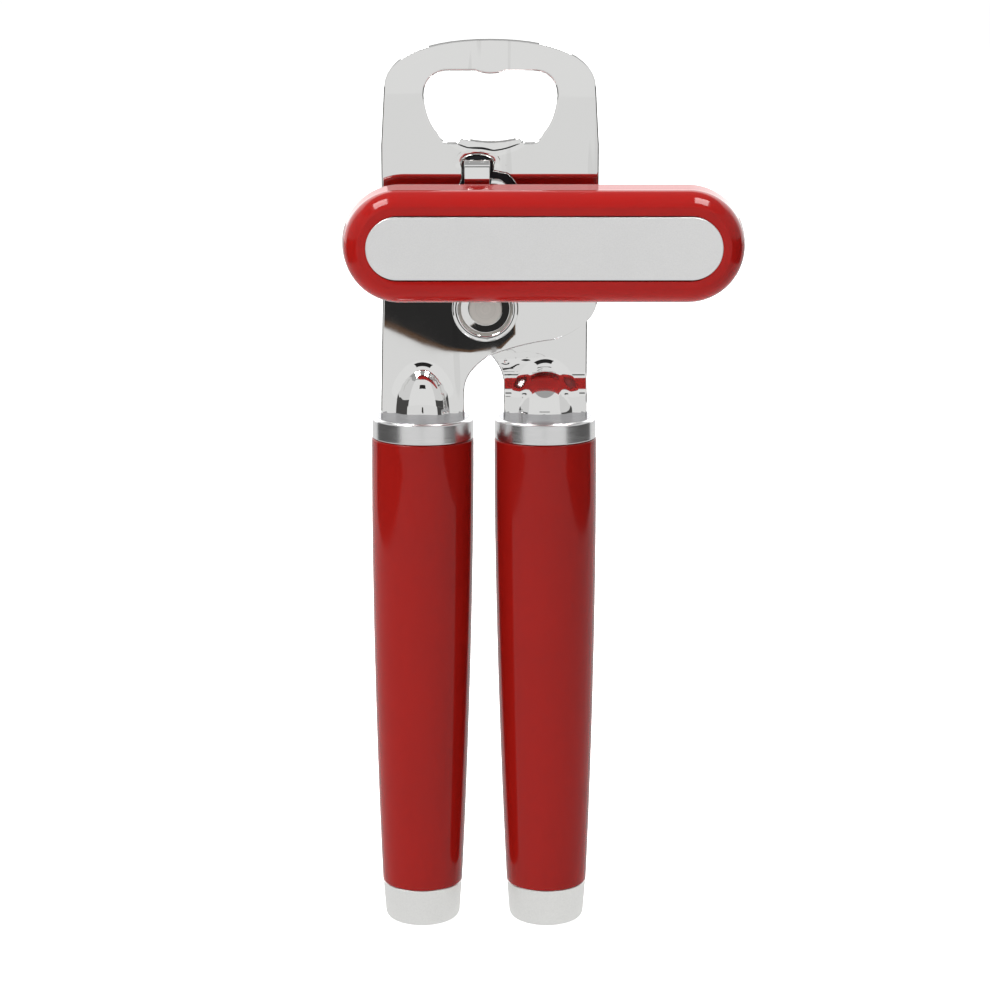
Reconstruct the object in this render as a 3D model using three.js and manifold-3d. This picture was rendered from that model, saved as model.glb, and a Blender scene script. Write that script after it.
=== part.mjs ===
// Manual can opener with a bottle-opener loop, standing on its two handle caps.
// Millimetres, +Z up along the handles, +Y away from the user, +X to the right.
// The turning bar faces -Y; its axis is the line x = 0.

import * as THREE from 'three';
import { mergeVertices } from 'three/addons/utils/BufferGeometryUtils.js';
import Module from 'manifold-3d';

const wasm = await Module();
wasm.setup();

// ---- driving dimensions -------------------------------------------------

const fitGap = 0.3;              // between pieces that touch
const runGap = 0.5;              // between pieces that turn past each other

// handles, from the floor up
const capHeight = 9.35;
const gripLength = 109.45;
const ferruleHeight = 5;
const handleSpacing = 28.8;      // between the two handle axes at the ferrules
const splayDegrees = 0.36;       // each handle leans outwards by this much
const ferruleRadius = 11.95;
const ferruleWall = 1.5;
const ferruleEdge = 0.6;
const gripShoulder = 0.1;        // how far the grip stands proud of the ferrule
const gripTaper = 2.33;          // radius lost from the top of the grip to its foot
const gripUpperFullness = 0.25;
const gripLowerFullness = 1.38;
const gripEdge = 0.35;
const coreWall = 3.45;           // grip wall round the core
const coreLength = 34.6;
const capTaper = 0.7;
const capEdgeRadius = 1.7;
const capSpigotRadius = 6.2;
const capSpigotHeight = 9;
const rodRadius = 2;
const rodIntoCap = 6;
const rodIntoCore = 10;

// plates
const plateThickness = 1.9;
const plateGap = 0.35;           // between the two plates at the pivot
const plateFront = -0.5;         // front face, from the handle axes
const plateHalfWidth = 25.15;
const plateOffset = 1.45;        // plate centre, right of the midpoint between the handles
const crownAbovePivot = 62;
const crownHalfWidth = 24.4;     // where the sides turn into the crown
const crownRise = 11;
const taperAbovePivot = 38;      // above this height the sides lean in
const shoulderAbovePivot = 1;    // below this height the right side is cut back
const notchBelowPivot = 11.5;    // top of the notch between the tangs

// tangs, the blades that run down into the handles
const tangHalfWidth = 9.85;
const tangTailHalfWidth = 5.6;
const tangTailLength = 24.9;
const ribHalfWidth = 6.1;
const ribDepth = 5;
const leftRibHeight = 11;
const rightRibHeight = 11.6;
const leftNoseLength = 11;
const rightNoseLength = 8.5;
const jogTopBelowPivot = 11.1;
const jogHeight = 4.9;

// bottle-opener aperture
const loopBand = 7.3;            // metal above the aperture
const apertureHeight = 16.2;
const apertureWidestDrop = 5.7;
const apertureHalfWidth = 15.3;
const apertureTopHalf = 9.6;
const apertureFootHalf = 10.4;
const apertureCornerRadius = 3.2;
const lipHalfWidth = 6.8;
const lipRise = 1.2;
const lipSag = 0.95;
const toothHalfWidth = 2.5;
const toothDrop = 0.7;

// pivot
const pivotAboveFerrule = 25.6;
const pivotLeftOfPlateCentre = 1.1;
const pivotRadius = 3;
const pivotHeadRadius = 3.9;
const pivotHeadHeight = 1.1;
const pivotTailRadius = 5;
const pivotTailHeight = 1.6;
const pivotWasherRadius = 7.8;
const pivotWasherHeight = 1.3;
const pivotDishRadius = 5.9;
const openDegrees = 8;           // travel of the rear arm from closed

// cutting wheel and its stud
const cutterAbovePivot = 26.1;
const cutterRightOfPivot = 1.8;
const studHeadRadius = 4.2;
const studHeadHeight = 1.3;
const studWindowRadius = 5.9;
const studRadius = 2.6;
const wheelOverlap = 0.3;        // how far the two wheels pass each other, seen from behind
const cutterThickness = 2.4;
const cutterHubRadius = 4.6;
const cutterStandOff = 0.9;
const retainerRadius = 3.9;
const retainerHeight = 1.2;

// sight window and rim guide, above the cutting wheel's stud
const windowLeftOfStud = 3.25;
const windowHalfWidth = 4.15;
const windowAboveStud = 10.5;
const guideLeftOfStud = 3.7;
const guideHalfWidth = 3;
const guideThickness = 1.5;
const guideForward = 2.2;        // how far the guide stands in front of the plate
const guideFootRun = 6.2;        // from the guide's root to the stud's window
const guideAboveStud = 8.3;
const guideBackReach = 0.9;

// crank
const crankAbovePivot = 16.8;
const knobHalfLength = 45.7;
const knobHalfHeight = 13.4;
const knobDepth = 13;
const knobStandOff = 13.1;       // from the front plate to the knob's back
const knobEdgeRadius = 4;
const knobBackEdgeRadius = 1.4;
const insertHalfLength = 39.85;
const insertHalfHeight = 7.05;
const insertDepth = 1.2;
const insertProud = 0.1;
const hubWall = 4.4;             // hub outside the shaft
const hubSink = 3;
const shaftRadius = 3.6;
const bushWall = 1.5;
const bushFlange = 2;
const bushFlangeHeight = 0.9;
const thrustHeight = 0.8;
const feedRadius = 6.4;
const feedToothDepth = 0.9;
const feedTeeth = 22;
const feedWidth = 4;
const nutWall = 0.6;             // least metal between the shaft's hole and the nut's flats
const nutHeight = 2.6;

// roundness
const fineSegments = 40;
const gripSegments = 32;
const smallSegments = 20;
const arcSteps = 6;
const barSteps = 12;

// ---- values that follow -------------------------------------------------

const gripFootZ = capHeight + fitGap;
const gripTopZ = gripFootZ + gripLength;
const ferruleFootZ = gripTopZ + fitGap;
const ferruleTopZ = ferruleFootZ + ferruleHeight;
const ferruleUnderZ = ferruleTopZ - ferruleWall;
const coreTopZ = ferruleUnderZ - fitGap;
const coreFootZ = coreTopZ - coreLength;
const tangFootZ = ferruleUnderZ - tangTailLength;
const gripTopRadius = ferruleRadius + gripShoulder;
const gripFootRadius = gripTopRadius - gripTaper;
const capTopRadius = gripFootRadius - 0.07;
const capFootRadius = capTopRadius - capTaper;
const coreRadius = gripTopRadius - coreWall;

const pivotZ = ferruleTopZ + pivotAboveFerrule;
const crankZ = pivotZ + crankAbovePivot;
const cutterZ = pivotZ + cutterAbovePivot;
const crownZ = pivotZ + crownAbovePivot;
const sideTaperZ = pivotZ + taperAbovePivot;
const shoulderZ = pivotZ + shoulderAbovePivot;
const notchZ = pivotZ - notchBelowPivot;
const jogTopZ = pivotZ - jogTopBelowPivot;
const jogFootZ = jogTopZ - jogHeight;
const apertureTopZ = crownZ - loopBand;
const apertureFootZ = apertureTopZ - apertureHeight;
const apertureWidestZ = apertureTopZ - apertureWidestDrop;

// The knob is as long to the left of its shaft as to the right, so x = 0 is the shaft.
const pivotX = -13.2;
const plateCentreX = pivotX + pivotLeftOfPlateCentre;
const leftAxisX = plateCentreX - plateOffset - handleSpacing / 2;
const rightAxisX = leftAxisX + handleSpacing;
const cutterX = pivotX + cutterRightOfPivot;
const windowX = cutterX - windowLeftOfStud;
const guideX = cutterX - guideLeftOfStud;
const plateLeftX = plateCentreX - plateHalfWidth;
const plateRightX = plateCentreX + plateHalfWidth;

const wheelSpacing = Math.hypot(cutterX, cutterZ - crankZ);
const cutterRadius = wheelSpacing - feedRadius + wheelOverlap;
const feedRootRadius = feedRadius - feedToothDepth;
const hubRadius = shaftRadius + hubWall;
const bushRadius = shaftRadius + fitGap + bushWall;
const bushFlangeRadius = bushRadius + bushFlange;
const nutAcross = 2 * (shaftRadius + fitGap + nutWall);

const plateBack = plateFront + plateThickness;
const rearPlateFront = plateBack + plateGap;
const rearPlateBack = rearPlateFront + plateThickness;
const cutterFront = rearPlateBack + cutterStandOff;
const cutterBack = cutterFront + cutterThickness;
const retainerFront = cutterBack + fitGap;
const feedFront = cutterBack + runGap;
const feedBack = feedFront + feedWidth;
const nutFront = feedBack + fitGap;
const nutBack = nutFront + nutHeight;
const bushFlangeFront = plateFront - fitGap - bushFlangeHeight;
const thrustFront = bushFlangeFront - fitGap - thrustHeight;
const hubBack = thrustFront - fitGap;
const knobBack = plateFront - knobStandOff;
const knobFront = knobBack - knobDepth;
const hubFront = knobBack - hubSink;
const depthCentre = (knobFront - insertProud + nutBack) / 2;

// ---- materials ----------------------------------------------------------

const chrome = () => new THREE.MeshStandardMaterial({ color: 0xd4d4d4, roughness: 0.08, metalness: 1 });
const satin = () => new THREE.MeshStandardMaterial({ color: 0xc8c8ca, roughness: 0.35, metalness: 1 });
const steel = () => new THREE.MeshStandardMaterial({ color: 0x9a9a9c, roughness: 0.3, metalness: 1 });
const redGloss = () => new THREE.MeshStandardMaterial({ color: 0xb0141c, roughness: 0.15, metalness: 0 });
const darkPlastic = () => new THREE.MeshStandardMaterial({ color: 0x2a2a2c, roughness: 0.6, metalness: 0 });

// ---- solids -------------------------------------------------------------

// A closed geometry as a solid, with its faces turned outwards.
function solid(geometry) {
  const bare = geometry.index ? geometry.toNonIndexed() : geometry.clone();
  bare.deleteAttribute('normal');
  bare.deleteAttribute('uv');
  const merged = mergeVertices(bare, 1e-5);
  const points = merged.attributes.position.array;
  const corners = merged.index.array;
  const kept = [];
  let volume = 0;
  const a = new THREE.Vector3();
  const b = new THREE.Vector3();
  const c = new THREE.Vector3();
  for (let i = 0; i < corners.length; i += 3) {
    const [p, q, r] = [corners[i], corners[i + 1], corners[i + 2]];
    if (p === q || q === r || r === p) continue;
    a.fromArray(points, p * 3);
    b.fromArray(points, q * 3);
    c.fromArray(points, r * 3);
    volume += a.dot(b.cross(c));
    kept.push(p, q, r);
  }
  if (volume < 0) kept.reverse();
  const mesh = new wasm.Mesh({
    numProp: 3,
    vertProperties: new Float32Array(points),
    triVerts: new Uint32Array(kept),
  });
  return new wasm.Manifold(mesh);
}

function piece(name, shape, material) {
  const mesh = shape.getMesh();
  const geometry = new THREE.BufferGeometry();
  geometry.setAttribute('position', new THREE.BufferAttribute(new Float32Array(mesh.vertProperties), 3));
  geometry.setIndex(new THREE.BufferAttribute(new Uint32Array(mesh.triVerts), 1));
  geometry.computeVertexNormals();
  const node = new THREE.Mesh(geometry, material);
  node.name = name;
  return node;
}

// A flat outline drawn in x and z, thickened from yFront to yBack.
function slab(shape, yFront, yBack, steps = arcSteps) {
  const geometry = new THREE.ExtrudeGeometry(shape, {
    depth: yBack - yFront,
    bevelEnabled: false,
    curveSegments: steps,
  });
  geometry.rotateX(Math.PI / 2);
  geometry.translate(0, yBack, 0);
  return solid(geometry);
}

// A side profile drawn in y and z, widened from xLeft to xRight.
function sideSlab(shape, xLeft, xRight, steps = arcSteps) {
  const geometry = new THREE.ExtrudeGeometry(shape, {
    depth: xRight - xLeft,
    bevelEnabled: false,
    curveSegments: steps,
  });
  geometry.rotateX(Math.PI / 2);
  geometry.rotateZ(Math.PI / 2);
  geometry.translate(xLeft, 0, 0);
  return solid(geometry);
}

// A profile of radius and y, turned about the line through x, z along Y.
function turnedY(profile, x, z, segments = smallSegments) {
  const geometry = new THREE.LatheGeometry(profile, segments);
  geometry.translate(x, 0, z);
  return solid(geometry);
}

// A profile of radius and z, turned about the upright through the origin.
function turnedZ(profile, segments = fineSegments) {
  const geometry = new THREE.LatheGeometry(profile, segments);
  geometry.rotateX(Math.PI / 2);
  return solid(geometry);
}

const v = (x, y) => new THREE.Vector2(x, y);

function pin(radius, yFront, yBack, x, z, segments = smallSegments) {
  return turnedY([v(0, yFront), v(radius, yFront), v(radius, yBack), v(0, yBack)], x, z, segments);
}

function ringAlongY(inner, outer, yFront, yBack, x, z, segments = smallSegments) {
  const profile = [v(inner, yFront), v(outer, yFront), v(outer, yBack), v(inner, yBack), v(inner, yFront)];
  return turnedY(profile, x, z, segments);
}

// Quarter-round points from one edge to the next, about a centre.
function quarter(cx, cy, radius, fromDegrees, toDegrees, steps = 5) {
  const points = [];
  for (let i = 0; i <= steps; i += 1) {
    const angle = THREE.MathUtils.degToRad(fromDegrees + (toDegrees - fromDegrees) * i / steps);
    points.push(v(cx + radius * Math.cos(angle), cy + radius * Math.sin(angle)));
  }
  return points;
}

// A strip of even thickness that follows a path in y and z.
function stripShape(path, thickness, divisions) {
  const points = path.getSpacedPoints(divisions);
  const left = [];
  const right = [];
  points.forEach((point, i) => {
    const before = points[Math.max(i - 1, 0)];
    const after = points[Math.min(i + 1, points.length - 1)];
    const along = after.clone().sub(before).normalize();
    const across = v(-along.y, along.x).multiplyScalar(thickness / 2);
    left.push(point.clone().add(across));
    right.push(point.clone().sub(across));
  });
  return new THREE.Shape([...left, ...right.reverse()]);
}

function stadium(halfLength, halfHeight, x, z) {
  const shape = new THREE.Shape();
  const straight = halfLength - halfHeight;
  shape.moveTo(x - straight, z - halfHeight);
  shape.lineTo(x + straight, z - halfHeight);
  shape.absarc(x + straight, z, halfHeight, -Math.PI / 2, Math.PI / 2, false);
  shape.lineTo(x - straight, z + halfHeight);
  shape.absarc(x - straight, z, halfHeight, Math.PI / 2, 3 * Math.PI / 2, false);
  return shape;
}

// ---- front arm ----------------------------------------------------------

function tangOutline(shape, centreX, topZ) {
  shape.lineTo(centreX + tangHalfWidth, ferruleUnderZ);
  shape.lineTo(centreX + tangTailHalfWidth, ferruleUnderZ);
  shape.lineTo(centreX + tangTailHalfWidth, tangFootZ);
  shape.lineTo(centreX - tangTailHalfWidth, tangFootZ);
  shape.lineTo(centreX - tangTailHalfWidth, ferruleUnderZ);
  shape.lineTo(centreX - tangHalfWidth, ferruleUnderZ);
  shape.lineTo(centreX - tangHalfWidth, topZ);
}

function frontPlateShape() {
  const topZ = crownZ;
  const crownFootZ = topZ - crownRise;
  const tangRight = leftAxisX + tangHalfWidth;
  const tangEdgeX = rightAxisX + tangHalfWidth;
  const notchX = pivotX + 0.6;
  const shape = new THREE.Shape();
  shape.moveTo(plateLeftX, sideTaperZ);
  shape.quadraticCurveTo(plateLeftX, crownFootZ - 6, plateCentreX - crownHalfWidth, crownFootZ);
  shape.bezierCurveTo(plateCentreX - crownHalfWidth - 0.2, topZ - 3.4, plateCentreX - 13.5, topZ,
    plateCentreX, topZ);
  shape.bezierCurveTo(plateCentreX + 13.5, topZ, plateCentreX + crownHalfWidth + 0.2, topZ - 3.4,
    plateCentreX + crownHalfWidth, crownFootZ);
  shape.quadraticCurveTo(plateRightX, crownFootZ - 6, plateRightX, sideTaperZ);
  shape.lineTo(plateRightX, shoulderZ + 2);
  shape.quadraticCurveTo(plateRightX, shoulderZ - 1.8, tangEdgeX, shoulderZ - 4);
  shape.quadraticCurveTo(tangEdgeX - 4, notchZ + 4.9, tangEdgeX - 8.3, notchZ + 3.9);
  shape.quadraticCurveTo(notchX + 7.5, notchZ + 3, notchX, notchZ);
  shape.bezierCurveTo(tangRight + 0.6, notchZ - 2.6, tangRight, notchZ - 5, tangRight, notchZ - 8);
  tangOutline(shape, leftAxisX, ferruleTopZ + 2);
  shape.lineTo(plateLeftX, shoulderZ);
  shape.closePath();
  return shape;
}

function apertureShape() {
  const x = plateCentreX + 0.1;
  const foot = apertureFootZ;
  const r = apertureCornerRadius;
  const hole = new THREE.Shape();
  hole.moveTo(x - toothHalfWidth - 1, apertureTopZ);
  hole.quadraticCurveTo(x, apertureTopZ - 2 * toothDrop, x + toothHalfWidth + 1, apertureTopZ);
  hole.lineTo(x + apertureTopHalf, apertureTopZ);
  hole.bezierCurveTo(x + apertureHalfWidth - 1.6, apertureTopZ, x + apertureHalfWidth + 0.2,
    apertureWidestZ + 2.8, x + apertureHalfWidth, apertureWidestZ);
  hole.quadraticCurveTo(x + apertureHalfWidth - 0.5, apertureWidestZ - 5.5, x + apertureFootHalf + 1.8, foot + r - 1);
  hole.quadraticCurveTo(x + apertureFootHalf + 0.9, foot, x + apertureFootHalf - 1, foot);
  hole.lineTo(x + lipHalfWidth + 1, foot);
  hole.lineTo(x + lipHalfWidth, foot + lipRise);
  hole.quadraticCurveTo(x, foot + lipRise - 2 * lipSag, x - lipHalfWidth, foot + lipRise);
  hole.lineTo(x - lipHalfWidth - 1, foot);
  hole.lineTo(x - apertureFootHalf + 1, foot);
  hole.quadraticCurveTo(x - apertureFootHalf - 0.9, foot, x - apertureFootHalf - 1.8, foot + r - 1);
  hole.quadraticCurveTo(x - apertureHalfWidth + 0.5, apertureWidestZ - 5.5, x - apertureHalfWidth, apertureWidestZ);
  hole.bezierCurveTo(x - apertureHalfWidth - 0.2, apertureWidestZ + 2.8, x - apertureHalfWidth + 1.6,
    apertureTopZ, x - apertureTopHalf, apertureTopZ);
  hole.closePath();
  return hole;
}

function windowShape() {
  const hole = new THREE.Shape();
  const windowTopZ = cutterZ + windowAboveStud;
  const springZ = windowTopZ - windowHalfWidth * 0.8;
  hole.moveTo(windowX - windowHalfWidth, cutterZ);
  hole.lineTo(windowX + windowHalfWidth, cutterZ);
  hole.lineTo(windowX + windowHalfWidth, springZ);
  hole.bezierCurveTo(windowX + windowHalfWidth, windowTopZ - 0.6, windowX + 2, windowTopZ, windowX, windowTopZ);
  hole.bezierCurveTo(windowX - 2, windowTopZ, windowX - windowHalfWidth, windowTopZ - 0.6,
    windowX - windowHalfWidth, springZ);
  hole.closePath();
  return hole;
}

// The stud's head sweeps this slot as the rear arm opens.
function studSlot(yFront, yBack) {
  const travel = THREE.MathUtils.degToRad(openDegrees);
  const dx = cutterX - pivotX;
  const dz = cutterZ - pivotZ;
  const steps = 6;
  let cut = pin(studWindowRadius, yFront, yBack, cutterX, cutterZ);
  for (let i = 1; i <= steps; i += 1) {
    const angle = travel * i / steps;
    const x = pivotX + dx * Math.cos(angle) - dz * Math.sin(angle);
    const z = pivotZ + dx * Math.sin(angle) + dz * Math.cos(angle);
    cut = cut.add(pin(studHeadRadius + runGap, yFront, yBack, x, z));
  }
  return cut;
}

// The guide stands in front of the stud's head and turns back through the window.
function guideStrip() {
  const faceY = plateFront - guideForward + guideThickness / 2;
  const bend = 2.4;
  const path = new THREE.CurvePath();
  const rootY = plateFront + plateThickness / 2;
  const stepZ = cutterZ - studWindowRadius - 1.8;
  const guideRootZ = cutterZ - studWindowRadius - guideFootRun;
  const crestZ = cutterZ + guideAboveStud - guideThickness / 2;
  path.add(new THREE.LineCurve(v(rootY, guideRootZ), v(rootY, guideRootZ + 1.2)));
  path.add(new THREE.CubicBezierCurve(v(rootY, guideRootZ + 1.2), v(rootY, guideRootZ + 3),
    v(faceY, stepZ - 1.8), v(faceY, stepZ)));
  path.add(new THREE.LineCurve(v(faceY, stepZ), v(faceY, crestZ - bend)));
  path.add(new THREE.QuadraticBezierCurve(v(faceY, crestZ - bend), v(faceY, crestZ), v(faceY + bend, crestZ)));
  path.add(new THREE.LineCurve(v(faceY + bend, crestZ), v(faceY + bend + guideBackReach, crestZ)));
  return sideSlab(stripShape(path, guideThickness, 36), guideX - guideHalfWidth, guideX + guideHalfWidth);
}

// A pressed bullet rib on the front of a tang, running down into the ferrule.
function bulletRib(x, topZ, noseLength) {
  const footZ = ferruleUnderZ;
  const noseFootZ = topZ - noseLength;
  const profile = [v(0, footZ), v(ribHalfWidth, footZ)];
  for (let i = 0; i <= 12; i += 1) {
    const angle = Math.PI / 2 * i / 12;
    profile.push(v(ribHalfWidth * Math.cos(angle), noseFootZ + noseLength * Math.sin(angle)));
  }
  const geometry = new THREE.LatheGeometry(profile, gripSegments);
  geometry.rotateX(Math.PI / 2);
  geometry.scale(1, ribDepth / ribHalfWidth, 1);
  geometry.translate(x, plateFront + 0.01, 0);
  const frontHalf = new THREE.BoxGeometry(4 * ribHalfWidth, 2 * ribDepth, 2 * (topZ - footZ) + 10);
  frontHalf.translate(x, plateFront + 0.6 - ribDepth, (topZ + footZ) / 2);
  return solid(geometry).intersect(solid(frontHalf));
}

function frontPlate() {
  const through = 4;
  const yFront = plateFront - through;
  const yBack = plateBack + through;
  return slab(frontPlateShape(), plateFront, plateBack)
    .subtract(slab(apertureShape(), yFront, yBack))
    .subtract(slab(windowShape(), yFront, yBack))
    .subtract(studSlot(yFront, yBack))
    .subtract(pin(pivotRadius + fitGap, yFront, yBack, pivotX, pivotZ))
    .subtract(pin(bushRadius + fitGap, yFront, yBack, 0, crankZ))
    .add(guideStrip())
    .add(bulletRib(leftAxisX, ferruleTopZ + leftRibHeight, leftNoseLength));
}

function shaftBush() {
  const bore = shaftRadius + fitGap;
  const profile = [v(bore, bushFlangeFront), v(bushFlangeRadius, bushFlangeFront),
    v(bushFlangeRadius, bushFlangeFront + bushFlangeHeight), v(bushRadius, bushFlangeFront + bushFlangeHeight),
    v(bushRadius, feedFront - fitGap), v(bore, feedFront - fitGap), v(bore, bushFlangeFront)];
  return turnedY(profile, 0, crankZ, gripSegments);
}

function pivotWasher() {
  const front = plateFront - fitGap - pivotWasherHeight;
  const back = plateFront - fitGap;
  const bore = pivotHeadRadius + fitGap;
  const rim = (pivotWasherRadius + pivotDishRadius) / 2;
  const profile = [v(pivotRadius + fitGap, back), v(pivotWasherRadius, back),
    v(pivotWasherRadius, front + 0.5), ...quarter(rim, front + 0.5, pivotWasherRadius - rim, 0, -180, 6),
    v(pivotDishRadius - 0.5, front + 0.9), v(bore + 0.2, front + 0.7), v(bore, back - 0.4),
    v(pivotRadius + fitGap, back - 0.4), v(pivotRadius + fitGap, back)];
  return turnedY(profile, pivotX, pivotZ, gripSegments);
}

function pivotRivet() {
  const headBack = plateFront - fitGap - 0.4 - fitGap;
  const headFront = headBack - pivotHeadHeight;
  const tailFront = rearPlateBack + fitGap;
  const tailBack = tailFront + pivotTailHeight;
  const tailRadius = pivotTailRadius;
  const profile = [v(0, headFront), v(pivotHeadRadius - 0.3, headFront), v(pivotHeadRadius, headFront + 0.3),
    v(pivotHeadRadius, headBack), v(pivotRadius, headBack), v(pivotRadius, tailFront), v(tailRadius, tailFront),
    ...quarter(tailRadius - 1.2, tailBack - 1.2, 1.2, 0, 90), v(0, tailBack)];
  return turnedY(profile, pivotX, pivotZ, smallSegments);
}

// ---- handles ------------------------------------------------------------

function ferrule(splay) {
  const r = ferruleRadius;
  const inner = r - ferruleWall;
  const top = ferruleTopZ;
  const profile = [v(0, ferruleUnderZ), v(inner, ferruleUnderZ), v(inner, ferruleFootZ), v(r, ferruleFootZ),
    ...quarter(r - ferruleEdge, top - ferruleEdge, ferruleEdge, 0, 90), v(0, top)];
  const lean = Math.abs(splay) * ferruleHeight;
  const slotHalf = tangHalfWidth + fitGap + lean;
  const slot = new THREE.BoxGeometry(2 * slotHalf, plateThickness + 2 * fitGap, 3 * ferruleWall);
  slot.translate(0, plateFront + plateThickness / 2, ferruleUnderZ + ferruleWall / 2);
  const ribCut = new THREE.CylinderGeometry(1, 1, 3 * ferruleWall, smallSegments);
  ribCut.rotateX(Math.PI / 2);
  ribCut.scale(ribHalfWidth + fitGap, ribDepth + fitGap, 1);
  ribCut.translate(0, plateFront, ferruleUnderZ + ferruleWall / 2);
  const frontHalf = new THREE.BoxGeometry(4 * ribHalfWidth, 2 * ferruleRadius, 4 * ferruleWall);
  frontHalf.translate(0, plateFront - ferruleRadius, ferruleUnderZ);
  const ribSlot = solid(ribCut).intersect(solid(frontHalf));
  return turnedZ(profile).subtract(solid(slot)).subtract(ribSlot);
}

function core() {
  const slotHalf = tangTailHalfWidth + 2 * fitGap;
  const slotFoot = tangFootZ - 2 * fitGap;
  const body = turnedZ([v(0, coreFootZ), v(coreRadius - 0.5, coreFootZ), v(coreRadius, coreFootZ + 0.5),
    v(coreRadius, coreTopZ), v(0, coreTopZ)], gripSegments);
  const slot = new THREE.BoxGeometry(2 * slotHalf, plateThickness + 2 * fitGap, 2 * (coreTopZ - slotFoot));
  slot.translate(0, plateFront + plateThickness / 2, coreTopZ);
  const rodHole = turnedZ([v(0, coreFootZ - 1), v(rodRadius + fitGap, coreFootZ - 1),
    v(rodRadius + fitGap, tangFootZ - 1), v(0, tangFootZ - 1)], smallSegments);
  return body.subtract(solid(slot)).subtract(rodHole);
}

function gripOuterProfile() {
  const curve = new THREE.CubicBezierCurve(v(gripFootRadius, gripFootZ + gripEdge),
    v(gripFootRadius + gripLowerFullness, gripFootZ + 0.277 * gripLength), v(gripTopRadius + gripUpperFullness, gripTopZ - 0.31 * gripLength), v(gripTopRadius, gripTopZ - gripEdge));
  return curve.getPoints(12);
}

function grip() {
  const socketRadius = capSpigotRadius + fitGap;
  const socketTopZ = gripFootZ + capSpigotHeight + fitGap;
  const boreRadius = coreRadius + fitGap;
  const shelfZ = coreFootZ - fitGap;
  const rodBore = rodRadius + fitGap;
  const profile = [v(socketRadius, gripFootZ), v(gripFootRadius - gripEdge, gripFootZ), ...gripOuterProfile(),
    v(gripTopRadius - gripEdge, gripTopZ), v(boreRadius, gripTopZ), v(boreRadius, shelfZ), v(rodBore, shelfZ),
    v(rodBore, socketTopZ), v(socketRadius, socketTopZ), v(socketRadius, gripFootZ)];
  return turnedZ(profile);
}

function endCap() {
  const top = gripFootZ - fitGap;
  const spigotTop = gripFootZ + capSpigotHeight;
  const r = capEdgeRadius;
  const profile = [v(0, 0), ...quarter(capFootRadius - r, r, r, -90, 0, 8), v(capTopRadius, top - 0.2),
    v(capTopRadius - 0.2, top), v(capSpigotRadius, top), v(capSpigotRadius, spigotTop), v(0, spigotTop)];
  const rodHoleFoot = spigotTop - rodIntoCap - fitGap;
  const rodHole = turnedZ([v(0, rodHoleFoot), v(rodRadius + fitGap, rodHoleFoot),
    v(rodRadius + fitGap, spigotTop + 1), v(0, spigotTop + 1)], smallSegments);
  return turnedZ(profile).subtract(rodHole);
}

function tieRod() {
  const foot = gripFootZ + capSpigotHeight - rodIntoCap;
  const top = coreFootZ + rodIntoCore - 1 - fitGap;
  return turnedZ([v(0, foot), v(rodRadius - 0.4, foot), v(rodRadius, foot + 0.4), v(rodRadius, top - 0.4),
    v(rodRadius - 0.4, top), v(0, top)], smallSegments);
}

// One handle, leaning outwards by the splay about the middle of its ferrule.
function handle(side, axisX, splayDegreesSigned) {
  const splay = THREE.MathUtils.degToRad(splayDegreesSigned);
  const group = new THREE.Group();
  group.add(piece(`${side}_core`, core(), darkPlastic()));
  group.add(piece(`${side}_ferrule`, ferrule(splay), satin()));
  group.add(piece(`${side}_grip`, grip(), redGloss()));
  group.add(piece(`${side}_tie_rod`, tieRod(), steel()));
  group.children.forEach((child) => child.position.set(0, 0, -ferruleTopZ));
  group.rotation.y = splay;
  group.position.set(axisX, 0, ferruleTopZ);
  return group;
}

// The end cap stands square on the floor at the foot of its leaning handle.
function standingCap(side, axisX, splayDegreesSigned) {
  const splay = THREE.MathUtils.degToRad(splayDegreesSigned);
  const cap = piece(`${side}_end_cap`, endCap(), satin());
  cap.position.x = axisX - Math.sin(splay) * (ferruleTopZ - gripFootZ);
  return cap;
}

// ---- rear arm -----------------------------------------------------------

function rearPlateShape() {
  const left = rightAxisX - tangHalfWidth;
  const right = rightAxisX + tangHalfWidth;
  const shape = new THREE.Shape();
  const headRadius = 8.2;
  const armRight = -bushRadius - fitGap - 1.4;
  shape.moveTo(left, ferruleTopZ + 8);
  shape.bezierCurveTo(left - 0.2, notchZ - 3.5, left - 2, notchZ - 0.9, left - 3.4, notchZ + 0.4);
  shape.quadraticCurveTo(pivotX - 9.4, pivotZ - 7, pivotX - 9.2, pivotZ + 1);
  shape.lineTo(cutterX - headRadius, cutterZ - 2);
  shape.absarc(cutterX, cutterZ, headRadius, Math.PI, Math.PI * 0.1, true);
  shape.quadraticCurveTo(armRight + 1.2, cutterZ - 3, armRight, crankZ + 3);
  shape.lineTo(armRight, crankZ - 5);
  shape.quadraticCurveTo(armRight + 1, pivotZ + 6, right - 4, pivotZ + 3.4);
  shape.quadraticCurveTo(right, pivotZ + 2, right, pivotZ - 2);
  tangOutline(shape, rightAxisX, ferruleTopZ + 8);
  return shape;
}

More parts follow.
